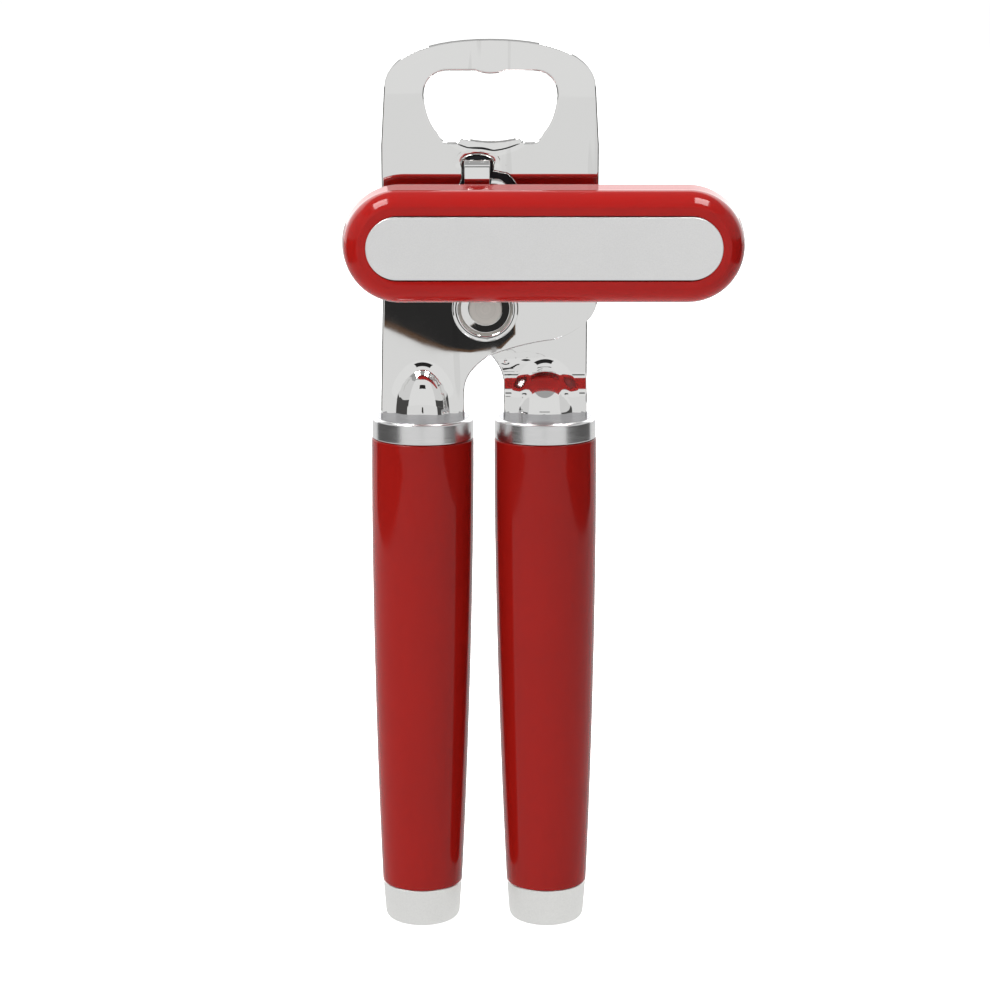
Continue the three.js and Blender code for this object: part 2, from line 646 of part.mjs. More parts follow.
// The rear plate steps forward below the pivot so that both tangs lie in one plane.
function jogShape() {
  const backY = rearPlateFront + plateThickness / 2;
  const tangY = plateFront + plateThickness / 2;
  const bend = (jogTopZ - jogFootZ) * 0.55;
  const curve = new THREE.CubicBezierCurve(v(backY, jogTopZ), v(backY, jogTopZ - bend),
    v(tangY, jogFootZ + bend), v(tangY, jogFootZ));
  const middle = curve.getPoints(12);
  const line = [v(backY, crownZ + 1), ...middle, v(tangY, tangFootZ - 4)];
  const left = [];
  const right = [];
  line.forEach((point, i) => {
    const before = line[Math.max(i - 1, 0)];
    const after = line[Math.min(i + 1, line.length - 1)];
    const along = after.clone().sub(before).normalize();
    const across = v(-along.y, along.x).multiplyScalar(plateThickness / 2);
    const straight = i === 1 || i === line.length - 2;
    if (straight) across.set(plateThickness / 2, 0);
    left.push(point.clone().add(across));
    right.push(point.clone().sub(across));
  });
  return new THREE.Shape([...left, ...right.reverse()]);
}

function rearPlate() {
  const flat = slab(rearPlateShape(), plateFront - 2, rearPlateBack + 2);
  const step = sideSlab(jogShape(), plateLeftX - 5, plateRightX + 5);
  const yFront = rearPlateFront - 2;
  const yBack = rearPlateBack + 2;
  return flat.intersect(step)
    .subtract(pin(pivotRadius + fitGap, yFront, yBack, pivotX, pivotZ))
    .subtract(pin(studRadius + fitGap, yFront, yBack, cutterX, cutterZ))
    .add(bulletRib(rightAxisX, ferruleTopZ + rightRibHeight, rightNoseLength));
}

function cutterStud() {
  const headBack = rearPlateFront - fitGap;
  const headFront = headBack - studHeadHeight;
  const tail = retainerFront + retainerHeight + 0.4;
  const dome = [];
  for (let i = 0; i <= 6; i += 1) {
    const angle = Math.PI / 2 * i / 6;
    dome.push(v(studHeadRadius * Math.sin(angle), headBack - 0.3 - (headBack - 0.3 - headFront) * Math.cos(angle)));
  }
  const profile = [...dome, v(studHeadRadius, headBack), v(studRadius, headBack), v(studRadius, tail - 0.4),
    v(studRadius - 0.4, tail), v(0, tail)];
  return turnedY(profile, cutterX, cutterZ, smallSegments);
}

function cutterWheel() {
  const bore = studRadius + fitGap;
  const hubFront = rearPlateBack + fitGap;
  const edge = cutterFront + cutterThickness * 0.75;
  const profile = [v(bore, hubFront), v(cutterHubRadius, hubFront), v(cutterHubRadius, cutterFront),
    v(cutterRadius - 2.2, cutterFront), v(cutterRadius, edge), v(cutterRadius - 0.6, cutterBack),
    v(bore, cutterBack), v(bore, hubFront)];
  return turnedY(profile, cutterX, cutterZ, fineSegments);
}

// ---- crank --------------------------------------------------------------

// The knob's outline at a given inset, for stacking into a rounded bar.
function knobLayer(inset, yFront, yBack) {
  return slab(stadium(knobHalfLength - inset, knobHalfHeight - inset, 0, crankZ), yFront, yBack, barSteps);
}

function knob() {
  const outline = stadium(knobHalfLength - knobEdgeRadius, knobHalfHeight - knobEdgeRadius, 0, crankZ);
  const geometry = new THREE.ExtrudeGeometry(outline, {
    depth: knobDepth - 2 * knobEdgeRadius,
    bevelEnabled: true,
    bevelSize: knobEdgeRadius,
    bevelThickness: knobEdgeRadius,
    bevelSegments: 4,
    curveSegments: barSteps,
  });
  geometry.rotateX(Math.PI / 2);
  geometry.translate(0, knobBack - knobEdgeRadius, 0);
  const rounded = solid(geometry);
  const backHalf = knobLayer(knobBackEdgeRadius, knobBack - knobEdgeRadius, knobBack)
    .add(knobLayer(0, knobBack - knobEdgeRadius, knobBack - knobBackEdgeRadius));
  const pocket = slab(stadium(insertHalfLength + fitGap, insertHalfHeight + fitGap, 0, crankZ),
    knobFront - 1, knobFront + insertDepth + fitGap, barSteps);
  const hubHole = pin(hubRadius + fitGap, hubFront - fitGap, knobBack + 1, 0, crankZ, gripSegments);
  return rounded.add(backHalf).subtract(pocket).subtract(hubHole);
}

function insert() {
  const front = knobFront - insertProud;
  return slab(stadium(insertHalfLength, insertHalfHeight, 0, crankZ), front, knobFront + insertDepth, barSteps);
}

// The hub and the shaft are one turning: a disc in the knob, then the shaft to the feed wheel.
function crankShaft() {
  const profile = [v(0, hubFront), v(hubRadius, hubFront), v(hubRadius, hubBack - 0.5),
    v(hubRadius - 0.5, hubBack), v(shaftRadius, hubBack), v(shaftRadius, nutBack - 0.5),
    v(shaftRadius - 0.5, nutBack), v(0, nutBack)];
  return turnedY(profile, 0, crankZ, gripSegments);
}

function feedWheel() {
  const shape = new THREE.Shape();
  for (let i = 0; i < feedTeeth; i += 1) {
    const pitch = 2 * Math.PI / feedTeeth;
    const at = (radius, share) => {
      const angle = (i + share) * pitch;
      return [radius * Math.cos(angle), crankZ + radius * Math.sin(angle)];
    };
    if (i === 0) shape.moveTo(...at(feedRootRadius, 0));
    else shape.lineTo(...at(feedRootRadius, 0));
    shape.lineTo(...at(feedRadius, 0.4));
    shape.lineTo(...at(feedRadius, 0.6));
  }
  shape.closePath();
  return slab(shape, feedFront, feedBack)
    .subtract(pin(shaftRadius + fitGap, feedFront - 1, feedBack + 1, 0, crankZ, gripSegments));
}

function feedNut() {
  const shape = new THREE.Shape();
  const corner = nutAcross / Math.sqrt(3);
  for (let i = 0; i < 6; i += 1) {
    const angle = Math.PI / 3 * i;
    const point = [corner * Math.cos(angle), crankZ + corner * Math.sin(angle)];
    if (i === 0) shape.moveTo(...point);
    else shape.lineTo(...point);
  }
  shape.closePath();
  return slab(shape, nutFront, nutBack)
    .subtract(pin(shaftRadius + fitGap, nutFront - 1, nutBack + 1, 0, crankZ, gripSegments));
}

// ---- assembly -----------------------------------------------------------

const opener = new THREE.Group();

const frontArm = new THREE.Group();
frontArm.add(piece('front_plate', frontPlate(), chrome()));
frontArm.add(piece('shaft_bush', shaftBush(), steel()));
frontArm.add(piece('pivot_washer', pivotWasher(), chrome()));
frontArm.add(piece('pivot_rivet', pivotRivet(), steel()));
frontArm.add(handle('left', leftAxisX, splayDegrees));
frontArm.add(standingCap('left', leftAxisX, splayDegrees));
opener.add(frontArm);

const rearArm = new THREE.Group();
rearArm.add(piece('rear_plate', rearPlate(), chrome()));
rearArm.add(piece('cutter_stud', cutterStud(), chrome()));
rearArm.add(piece('cutter_wheel', cutterWheel(), steel()));
rearArm.add(piece('cutter_retainer', ringAlongY(studRadius + fitGap, retainerRadius, retainerFront,
  retainerFront + retainerHeight, cutterX, cutterZ), steel()));
rearArm.add(handle('right', rightAxisX, -splayDegrees));
rearArm.add(standingCap('right', rightAxisX, -splayDegrees));
opener.add(rearArm);

const crank = new THREE.Group();
crank.add(piece('crank_knob', knob(), redGloss()));
crank.add(piece('crank_insert', insert(), satin()));
crank.add(piece('crank_shaft', crankShaft(), steel()));
crank.add(piece('thrust_washer', ringAlongY(shaftRadius + fitGap, bushFlangeRadius, thrustFront,
  thrustFront + thrustHeight, 0, crankZ, gripSegments), steel()));
crank.add(piece('feed_wheel', feedWheel(), steel()));
crank.add(piece('feed_nut', feedNut(), steel()));
opener.add(crank);

opener.position.y = -depthCentre;

export default opener;
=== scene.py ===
import math

import bmesh
import bpy
from mathutils import Matrix, Vector
from mathutils.geometry import interpolate_bezier


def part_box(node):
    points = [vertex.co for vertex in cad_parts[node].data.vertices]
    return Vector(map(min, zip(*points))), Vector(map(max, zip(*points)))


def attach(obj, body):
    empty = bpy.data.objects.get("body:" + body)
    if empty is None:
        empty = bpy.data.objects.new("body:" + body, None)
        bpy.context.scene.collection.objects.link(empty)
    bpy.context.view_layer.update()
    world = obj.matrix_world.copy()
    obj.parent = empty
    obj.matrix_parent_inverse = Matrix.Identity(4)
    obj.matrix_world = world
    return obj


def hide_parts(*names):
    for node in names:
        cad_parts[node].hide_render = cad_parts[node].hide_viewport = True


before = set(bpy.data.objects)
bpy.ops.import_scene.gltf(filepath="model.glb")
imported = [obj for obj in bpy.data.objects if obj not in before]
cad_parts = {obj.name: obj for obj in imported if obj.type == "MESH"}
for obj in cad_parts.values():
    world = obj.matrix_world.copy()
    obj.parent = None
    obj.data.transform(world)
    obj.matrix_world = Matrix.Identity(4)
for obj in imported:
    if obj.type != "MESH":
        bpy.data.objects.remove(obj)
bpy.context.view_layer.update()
print("frame loaded")

mm = 0.001


def middle(part):
    low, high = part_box(part)
    return Vector([(a + b) / 2 / mm for a, b in zip(low, high)])


# Reference lines, in millimetres, read from the frame.
foot = middle("left_end_cap")
handleY = foot.y
pivot = middle("pivot_rivet")
crank = middle("crank_shaft")
cutter = middle("cutter_wheel")
leftFerrule = middle("left_ferrule")
rightFerrule = middle("right_ferrule")
plateFront = handleY - 0.5
plateThick = 1.9
rearFront = plateFront + plateThick + 0.35
plateX = pivot.x + 1.1
ferruleTop = pivot.z - 25.6
ferruleFoot = ferruleTop - 5.0
gripFoot = 9.55
knobBack = plateFront - 13.1
rearBack = rearFront + plateThick
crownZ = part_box("front_plate")[1][2] / mm
splay = math.radians(0.36)


def newGroup(name, inputs, outputs):
    group = bpy.data.node_groups.new(name, "ShaderNodeTree")
    for label, kind, value in inputs:
        socket = group.interface.new_socket(name=label, in_out="INPUT", socket_type=kind)
        if value is not None:
            socket.default_value = value
    for label, kind in outputs:
        group.interface.new_socket(name=label, in_out="OUTPUT", socket_type=kind)
    return group, group.nodes.new("NodeGroupInput"), group.nodes.new("NodeGroupOutput")


def node(tree, kind, **settings):
    made = tree.nodes.new(kind)
    for key, value in settings.items():
        setattr(made, key, value)
    return made


# Long fine streaks: the stretch sets how much longer they are than wide along each axis.
def makeGrain():
    group, gin, gout = newGroup("brushedGrain", [
        ("Place", "NodeSocketVector", None), ("Scale", "NodeSocketFloat", 900.0),
        ("Stretch", "NodeSocketVector", (1.0, 1.0, 1.0)), ("Wander", "NodeSocketFloat", 0.15)],
        [("Height", "NodeSocketFloat"), ("Mask", "NodeSocketFloat")])
    stretch = node(group, "ShaderNodeVectorMath", operation="MULTIPLY")
    fine = node(group, "ShaderNodeTexNoise")
    fine.inputs["Detail"].default_value = 5.0
    fine.inputs["Roughness"].default_value = 0.7
    broad = node(group, "ShaderNodeTexNoise")
    broad.inputs["Scale"].default_value = 120.0
    broad.inputs["Detail"].default_value = 2.0
    mix = node(group, "ShaderNodeMath", operation="MULTIPLY_ADD")
    link = group.links.new
    link(gin.outputs["Place"], stretch.inputs[0])
    link(gin.outputs["Stretch"], stretch.inputs[1])
    link(stretch.outputs[0], fine.inputs["Vector"])
    link(gin.outputs["Scale"], fine.inputs["Scale"])
    link(gin.outputs["Place"], broad.inputs["Vector"])
    link(broad.outputs["Fac"], mix.inputs[0])
    link(gin.outputs["Wander"], mix.inputs[1])
    link(fine.outputs["Fac"], mix.inputs[2])
    link(mix.outputs[0], gout.inputs["Height"])
    ramp = node(group, "ShaderNodeMapRange")
    ramp.inputs["From Min"].default_value = 0.35
    ramp.inputs["From Max"].default_value = 0.75
    link(mix.outputs[0], ramp.inputs["Value"])
    link(ramp.outputs["Result"], gout.inputs["Mask"])
    return group


# Lathe marks: rings round the axis that the Place vector is centred on.
def makeRings():
    group, gin, gout = newGroup("latheRings", [
        ("Place", "NodeSocketVector", None), ("Across", "NodeSocketVector", (1.0, 0.0, 1.0)),
        ("Pitch", "NodeSocketFloat", 4000.0)],
        [("Height", "NodeSocketFloat"), ("Mask", "NodeSocketFloat")])
    flat = node(group, "ShaderNodeVectorMath", operation="MULTIPLY")
    length = node(group, "ShaderNodeVectorMath", operation="LENGTH")
    rings = node(group, "ShaderNodeTexNoise", noise_dimensions="1D")
    rings.inputs["Detail"].default_value = 3.0
    wobble = node(group, "ShaderNodeTexNoise")
    wobble.inputs["Scale"].default_value = 400.0
    add = node(group, "ShaderNodeMath", operation="MULTIPLY_ADD")
    add.inputs[1].default_value = 0.25
    link = group.links.new
    link(gin.outputs["Place"], flat.inputs[0])
    link(gin.outputs["Across"], flat.inputs[1])
    link(flat.outputs[0], length.inputs[0])
    link(length.outputs["Value"], rings.inputs["W"])
    link(gin.outputs["Pitch"], rings.inputs["Scale"])
    link(gin.outputs["Place"], wobble.inputs["Vector"])
    link(wobble.outputs["Fac"], add.inputs[0])
    link(rings.outputs["Fac"], add.inputs[2])
    link(add.outputs[0], gout.inputs["Height"])
    ramp = node(group, "ShaderNodeMapRange")
    ramp.inputs["From Min"].default_value = 0.4
    ramp.inputs["From Max"].default_value = 0.9
    link(add.outputs[0], ramp.inputs["Value"])
    link(ramp.outputs["Result"], gout.inputs["Mask"])
    return group


# Soft smudges and a few hairline scratches, as on a thing that has been handled.
def makeHandling():
    group, gin, gout = newGroup("handling", [
        ("Place", "NodeSocketVector", None), ("Smudge Scale", "NodeSocketFloat", 60.0),
        ("Scratch Scale", "NodeSocketFloat", 140.0)],
        [("Smudge", "NodeSocketFloat"), ("Scratch", "NodeSocketFloat")])
    smudge = node(group, "ShaderNodeTexNoise")
    smudge.inputs["Detail"].default_value = 4.0
    smudge.inputs["Roughness"].default_value = 0.55
    smudgeRange = node(group, "ShaderNodeMapRange")
    smudgeRange.inputs["From Min"].default_value = 0.45
    smudgeRange.inputs["From Max"].default_value = 0.75
    squeeze = node(group, "ShaderNodeVectorMath", operation="MULTIPLY")
    squeeze.inputs[1].default_value = (1.0, 1.0, 0.06)
    scratch = node(group, "ShaderNodeTexNoise")
    scratch.inputs["Detail"].default_value = 1.0
    scratch.inputs["Distortion"].default_value = 0.6
    scratchRange = node(group, "ShaderNodeMapRange")
    scratchRange.inputs["From Min"].default_value = 0.70
    scratchRange.inputs["From Max"].default_value = 0.74
    link = group.links.new
    link(gin.outputs["Place"], smudge.inputs["Vector"])
    link(gin.outputs["Smudge Scale"], smudge.inputs["Scale"])
    link(smudge.outputs["Fac"], smudgeRange.inputs["Value"])
    link(smudgeRange.outputs["Result"], gout.inputs["Smudge"])
    link(gin.outputs["Place"], squeeze.inputs[0])
    link(squeeze.outputs[0], scratch.inputs["Vector"])
    link(gin.outputs["Scratch Scale"], scratch.inputs["Scale"])
    link(scratch.outputs["Fac"], scratchRange.inputs["Value"])
    link(scratchRange.outputs["Result"], gout.inputs["Scratch"])
    return group


grainGroup = makeGrain()
ringGroup = makeRings()
handlingGroup = makeHandling()


# One Principled material; the numbers that are the same all over go straight on its sockets.
def newMaterial(name, colour, metallic=0.0, roughness=0.3, **more):
    material = bpy.data.materials.new(name)
    material.use_nodes = True
    tree = material.node_tree
    shader = tree.nodes["Principled BSDF"]
    shader.inputs["Base Color"].default_value = (*colour, 1.0)
    shader.inputs["Metallic"].default_value = metallic
    shader.inputs["Roughness"].default_value = roughness
    for key, value in more.items():
        shader.inputs[key.replace("_", " ")].default_value = value
    place = node(tree, "ShaderNodeTexCoord").outputs["Object"]
    return material, tree, shader, place


def useGroup(tree, group, place, **values):
    made = node(tree, "ShaderNodeGroup", node_tree=group)
    tree.links.new(place, made.inputs["Place"])
    for key, value in values.items():
        made.inputs[key.replace("_", " ")].default_value = value
    return made


def spread(tree, value, low, high, socket):
    ramp = node(tree, "ShaderNodeMapRange")
    ramp.inputs["To Min"].default_value = low
    ramp.inputs["To Max"].default_value = high
    tree.links.new(value, ramp.inputs["Value"])
    tree.links.new(ramp.outputs["Result"], socket)


def tint(tree, value, low, high, socket):
    mix = node(tree, "ShaderNodeMix", data_type="RGBA")
    mix.inputs["A"].default_value = (*low, 1.0)
    mix.inputs["B"].default_value = (*high, 1.0)
    tree.links.new(value, mix.inputs["Factor"])
    tree.links.new(mix.outputs["Result"], socket)


def bump(tree, shader, height, distance, strength=1.0, under=None):
    made = node(tree, "ShaderNodeBump")
    made.inputs["Distance"].default_value = distance
    made.inputs["Strength"].default_value = strength
    tree.links.new(height, made.inputs["Height"])
    if under is not None:
        tree.links.new(under.outputs["Normal"], made.inputs["Normal"])
    tree.links.new(made.outputs["Normal"], shader.inputs["Normal"])
    return made


def centred(tree, place, centre):
    shift = node(tree, "ShaderNodeMapping")
    shift.inputs["Location"].default_value = tuple(-c * mm for c in centre)
    tree.links.new(place, shift.inputs["Vector"])
    return shift.outputs["Vector"]


# Polished chrome plate: nearly a mirror, with the faint roll of stamped sheet under it.
def chromeFinish(name, ripple=0.00002):
    material, tree, shader, place = newMaterial(name, (0.84, 0.84, 0.83), 1.0, 0.05)
    handled = useGroup(tree, handlingGroup, place, Smudge_Scale=70.0, Scratch_Scale=300.0)
    spread(tree, handled.outputs["Smudge"], 0.01, 0.035, shader.inputs["Roughness"])
    bright, worn = (0.84, 0.84, 0.83), (0.78, 0.78, 0.77)
    tint(tree, handled.outputs["Scratch"], bright, worn, shader.inputs["Base Color"])
    roll = node(tree, "ShaderNodeTexNoise")
    roll.inputs["Scale"].default_value = 45.0
    roll.inputs["Detail"].default_value = 1.0
    tree.links.new(place, roll.inputs["Vector"])
    bump(tree, shader, roll.outputs["Fac"], ripple)
    return material


# Satin metal, brushed along the axis given by the longest stretch.
def satinFinish(name, stretch, colour, rough, depth=0.00001, scale=900.0):
    material, tree, shader, place = newMaterial(name, colour, 1.0, 0.32)
    grain = useGroup(tree, grainGroup, place, Scale=scale, Stretch=stretch)
    spread(tree, grain.outputs["Mask"], rough[0], rough[1], shader.inputs["Roughness"])
    darker = tuple(c * 0.92 for c in colour)
    tint(tree, grain.outputs["Mask"], darker, colour, shader.inputs["Base Color"])
    bump(tree, shader, grain.outputs["Height"], depth)
    return material


# Turned metal with lathe rings round a line through centre; across says which axes the rings lie in.
def turnedFinish(name, centre, across, colour, rough=(0.18, 0.36), pitch=2500.0, depth=0.000012):
    material, tree, shader, place = newMaterial(name, colour, 1.0, 0.28)
    rings = useGroup(tree, ringGroup, centred(tree, place, centre), Across=across, Pitch=pitch)
    spread(tree, rings.outputs["Mask"], rough[0], rough[1], shader.inputs["Roughness"])
    tint(tree, rings.outputs["Mask"], tuple(c * 0.82 for c in colour), colour, shader.inputs["Base Color"])
    bump(tree, shader, rings.outputs["Height"], depth)
    return material


# Glossy red moulding: clear surface, a trace of orange peel, a few smudges.
def redFinish(name, colour):
    material, tree, shader, place = newMaterial(name, colour, 0.0, 0.06, IOR=1.46, Specular_IOR_Level=0.25)
    handled = useGroup(tree, handlingGroup, place, Smudge_Scale=35.0, Scratch_Scale=260.0)
    spread(tree, handled.outputs["Smudge"], 0.05, 0.11, shader.inputs["Roughness"])
    dulled = tuple(c * 0.93 for c in colour)
    tint(tree, handled.outputs["Smudge"], colour, dulled, shader.inputs["Base Color"])
    peel = node(tree, "ShaderNodeTexNoise")
    peel.inputs["Scale"].default_value = 260.0
    peel.inputs["Detail"].default_value = 1.5
    tree.links.new(place, peel.inputs["Vector"])
    bump(tree, shader, peel.outputs["Fac"], 0.000006)
    return material


def darkFinish(name):
    material, tree, shader, place = newMaterial(name, (0.02, 0.02, 0.021), 0.0, 0.5)
    speckle = node(tree, "ShaderNodeTexNoise")
    speckle.inputs["Scale"].default_value = 1500.0
    tree.links.new(place, speckle.inputs["Vector"])
    spread(tree, speckle.outputs["Fac"], 0.4, 0.65, shader.inputs["Roughness"])
    bump(tree, shader, speckle.outputs["Fac"], 0.00002)
    return material


allWays = (1.0, 1.0, 1.0)
roundAbout = (0.05, 0.05, 1.0)
lathe = (1.0, 0.0, 1.0)
chrome = chromeFinish("polished chrome")
redGrip = redFinish("red grip gloss", (0.186, 0.0050, 0.0034))
redKnob = redFinish("red bar gloss", (0.222, 0.0052, 0.0040))
ferruleSatin = satinFinish("ferrule satin", roundAbout, (0.80, 0.80, 0.80), (0.17, 0.25), 0.000002, 3600.0)
# Painted shade: the disc on each ferrule top is coloured darker for the shade and dim reflection it gets
# under the plates.
ferruleTopShade = satinFinish("ferrule top painted shade", allWays, (0.36, 0.36, 0.38), (0.16, 0.26), 0.000003, 2600.0)
capSatin = satinFinish("cap satin", allWays, (0.90, 0.90, 0.88), (0.36, 0.46), 0.000004, 2200.0)
insertSatin = satinFinish("inlay satin", allWays, (0.88, 0.88, 0.875), (0.30, 0.40), 0.000005, 3400.0)
steel = satinFinish("plain steel", (1.0, 0.3, 1.0), (0.50, 0.50, 0.51), (0.22, 0.36))
darkCore = darkFinish("core plastic")
# Painted shade: near-black steel for the sheet that darkens the shaded gap behind the window.
shadeSheetSteel = satinFinish("painted shade sheet steel", allWays, (0.035, 0.035, 0.04), (0.3, 0.45))
pivotTurned = turnedFinish("rivet face", pivot, lathe, (0.67, 0.64, 0.60), (0.34, 0.48), 1500.0, 0.00003)
cutterGround = turnedFinish("ground wheel", cutter, lathe, (0.55, 0.55, 0.56))
crankTurned = turnedFinish("turned shaft", crank, lathe, (0.58, 0.58, 0.58))
print("materials made")


# Corners given as (radius or x, height, rounding) become a smooth run of points.
def rounded(corners, detail):
    points = []
    count = len(corners)
    for i, (x, y, r) in enumerate(corners):
        here = Vector((x, y))
        if r <= 0 or i in (0, count - 1):
            points.append(here)
            continue
        before = Vector(corners[i - 1][:2])
        after = Vector(corners[i + 1][:2])
        inward = (before - here).normalized()
        outward = (after - here).normalized()
        angle = inward.angle(outward)
        reach = min(r / math.tan(angle / 2), (before - here).length * 0.49, (after - here).length * 0.49)
        r = reach * math.tan(angle / 2)
        bisector = (inward + outward).normalized()
        centre = here + bisector * (r / math.sin(angle / 2))
        first = here + inward * reach - centre
        turn = first.angle_signed(here + outward * reach - centre)
        for k in range(detail + 1):
            spoke = first.copy()
            spoke.rotate(Matrix.Rotation(-turn * k / detail, 2))
            points.append(centre + spoke)
    return points


# Flat faces of a sheet shade truly flat right up to the rounded edge beside them.
def flattenShading(mesh):
    flat = {}
    for face in mesh.polygons:
        if abs(face.normal.y) > 0.99995:
            for index in face.vertices:
                flat.setdefault((index, face.normal.y > 0), face.normal.copy())
    normals = []
    for face in mesh.polygons:
        for index in face.vertices:
            normal = flat.get((index, face.normal.y > 0))
            normals.append(normal if normal is not None else mesh.vertices[index].normal.copy())
    mesh.normals_split_custom_set(normals)


# A bmesh in millimetres becomes a finished piece in metres that rides on a body.
def finishPiece(name, bm, material, body, replaces=(), angle=32, weighted=True, turn=None, sheet=False):
    bmesh.ops.remove_doubles(bm, verts=bm.verts, dist=1e-4)
    if turn is not None:
        bmesh.ops.transform(bm, matrix=turn, verts=bm.verts)
    bmesh.ops.recalc_face_normals(bm, faces=bm.faces)
    bmesh.ops.scale(bm, vec=(mm, mm, mm), verts=bm.verts)
    mesh = bpy.data.meshes.new(name)
    bm.to_mesh(mesh)
    bm.free()
    mesh.shade_smooth()
    if sheet:
        flattenShading(mesh)
    else:
        mesh.set_sharp_from_angle(angle=math.radians(angle))
    mesh.materials.append(material)
    piece = bpy.data.objects.new(name, mesh)
    bpy.context.collection.objects.link(piece)
    if weighted and not sheet:
        smooth = piece.modifiers.new("evenShading", "WEIGHTED_NORMAL")
        smooth.keep_sharp = True
    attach(piece, body)
    if replaces:
        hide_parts(*replaces)
    return piece


# The leaning handles turn about the middle of their ferrule tops.
def handleTurn(side):
    ferrule = leftFerrule if side == "left" else rightFerrule
    sign = 1 if side == "left" else -1
    top = Vector((ferrule.x, handleY, ferruleTop))
    lean = Matrix.Rotation(sign * splay, 4, "Y")
    return Matrix.Translation(top) @ lean @ Matrix.Translation((0, 0, -ferruleTop))


# A profile of radius and height, turned about an upright ("Z") or a front-to-back ("Y") line.
def turned(profile, axis, centre, around):
    bm = bmesh.new()
    upright = axis == "Z"
    verts = []
    for r, h in profile:
        spot = (r, 0, h) if upright else (r, h, 0)
        verts.append(bm.verts.new(Vector(spot)))
    edges = [bm.edges.new(pair) for pair in zip(verts, verts[1:])]
    line = (0, 0, 1) if upright else (0, 1, 0)
    bmesh.ops.spin(bm, geom=verts + edges, cent=(0, 0, 0), axis=line, angle=math.tau, steps=around,
                   use_merge=True, use_duplicate=False)
    bmesh.ops.remove_doubles(bm, verts=bm.verts, dist=1e-4)
    bmesh.ops.translate(bm, vec=centre, verts=bm.verts)
    return bm


# Path commands for flat outlines, as points in x and z.
def path(start, *moves, detail=14):
    points = [Vector(start)]
    for move in moves:
        last = points[-1]
        spots = [Vector(p) for p in move]
        end = spots[-1]
        if len(move) == 1:
            points.append(end)
            continue
        if len(move) == 2:
            a = last + (spots[0] - last) * 2 / 3
            b = end + (spots[0] - end) * 2 / 3
        else:
            a, b = spots[:2]
        run = interpolate_bezier(last.to_3d(), a.to_3d(), b.to_3d(), end.to_3d(), detail)
        points += [p.to_2d() for p in run][1:]
    return points


# Points on an arc about a middle, at each of the given angles in degrees.
def arcRun(x, z, radius, angles):
    turns = [math.radians(a) for a in angles]
    return [Vector((x + radius * math.cos(turn), z + radius * math.sin(turn))) for turn in turns]


def circle(x, z, radius, count):
    return arcRun(x, z, radius, [360 * i / count for i in range(count)])


# A flat plate with holes and softly rounded edges, standing in the x-z plane.
def flatPlate(outlines, yFront, thickness, edge, detail=3):
    curve = bpy.data.curves.new("outline", "CURVE")
    curve.dimensions = "2D"
    curve.fill_mode = "BOTH"
    curve.extrude = thickness / 2 - edge
    curve.bevel_depth = edge
    curve.bevel_resolution = detail
    curve.offset = -edge
    for outline in outlines:
        spline = curve.splines.new("POLY")
        spline.points.add(len(outline) - 1)
        for point, spot in zip(spline.points, outline):
            point.co = (spot.x, spot.y, 0, 1)
        spline.use_cyclic_u = True
    holder = bpy.data.objects.new("outline", curve)
    bpy.context.collection.objects.link(holder)
    graph = bpy.context.evaluated_depsgraph_get()
    mesh = bpy.data.meshes.new_from_object(holder.evaluated_get(graph))
    bm = bmesh.new()
    bm.from_mesh(mesh)
    bpy.data.objects.remove(holder)
    bpy.data.curves.remove(curve)
    bpy.data.meshes.remove(mesh)
    bmesh.ops.remove_doubles(bm, verts=bm.verts, dist=1e-4)
    bmesh.ops.transform(bm, matrix=Matrix.Rotation(math.pi / 2, 4, "X"), verts=bm.verts)
    bmesh.ops.translate(bm, vec=(0, yFront + thickness / 2, 0), verts=bm.verts)
    return bm


# Cuts the faces inside a box of x and z into strips, so that they can be bent.
def gridCut(bm, xs, zs, xRange, zRange):
    def cut(at, normal):
        faces = [f for f in bm.faces if all(xRange[0] - 0.01 <= v.co.x <= xRange[1] + 0.01
                 and zRange[0] - 0.01 <= v.co.z <= zRange[1] + 0.01 for v in f.verts)]
        geom = faces + list({e for f in faces for e in f.edges}) + list({v for f in faces for v in f.verts})
        bmesh.ops.bisect_plane(bm, geom=geom, dist=1e-4, plane_co=at, plane_no=normal)
    for x in xRange:
        bmesh.ops.bisect_plane(bm, geom=bm.verts[:] + bm.edges[:] + bm.faces[:], dist=1e-4,
                               plane_co=(x, 0, 0), plane_no=(1, 0, 0))
    for z in zRange:
        bmesh.ops.bisect_plane(bm, geom=bm.verts[:] + bm.edges[:] + bm.faces[:], dist=1e-4,
                               plane_co=(0, 0, z), plane_no=(0, 0, 1))
    for x in xs:
        cut((x, 0, 0), (1, 0, 0))
    for z in zs:
        cut((0, 0, z), (0, 0, 1))


def ease(t):
    t = min(max(t, 0.0), 1.0)
    return t * t * (3 - 2 * t)


def steps(low, high, pitch):
    count = max(2, round((high - low) / pitch))
    return [low + (high - low) * i / count for i in range(1, count)]


# Front plate outline, from the crown round to the left tang.
frontPlate = {"halfWidth": 25.15, "crownHalf": 24.4, "crownRise": 11.0, "taperUp": 38.0, "notchDown": 11.5,
              "tangHalf": 9.85, "edge": 0.5, "lipTilt": 0.3, "crease": 0.055, "creaseHalf": 0.32,
              "foldLeft": 0.6, "foldHalf": 9.6, "foldSag": 3.0, "gridHalf": 11.5, "gridDown": 7.0,
              "gridUp": 1.3, "gentle": 0.07, "steep": 0.55, "steepFrom": 1.3, "windowReach": 2.3}


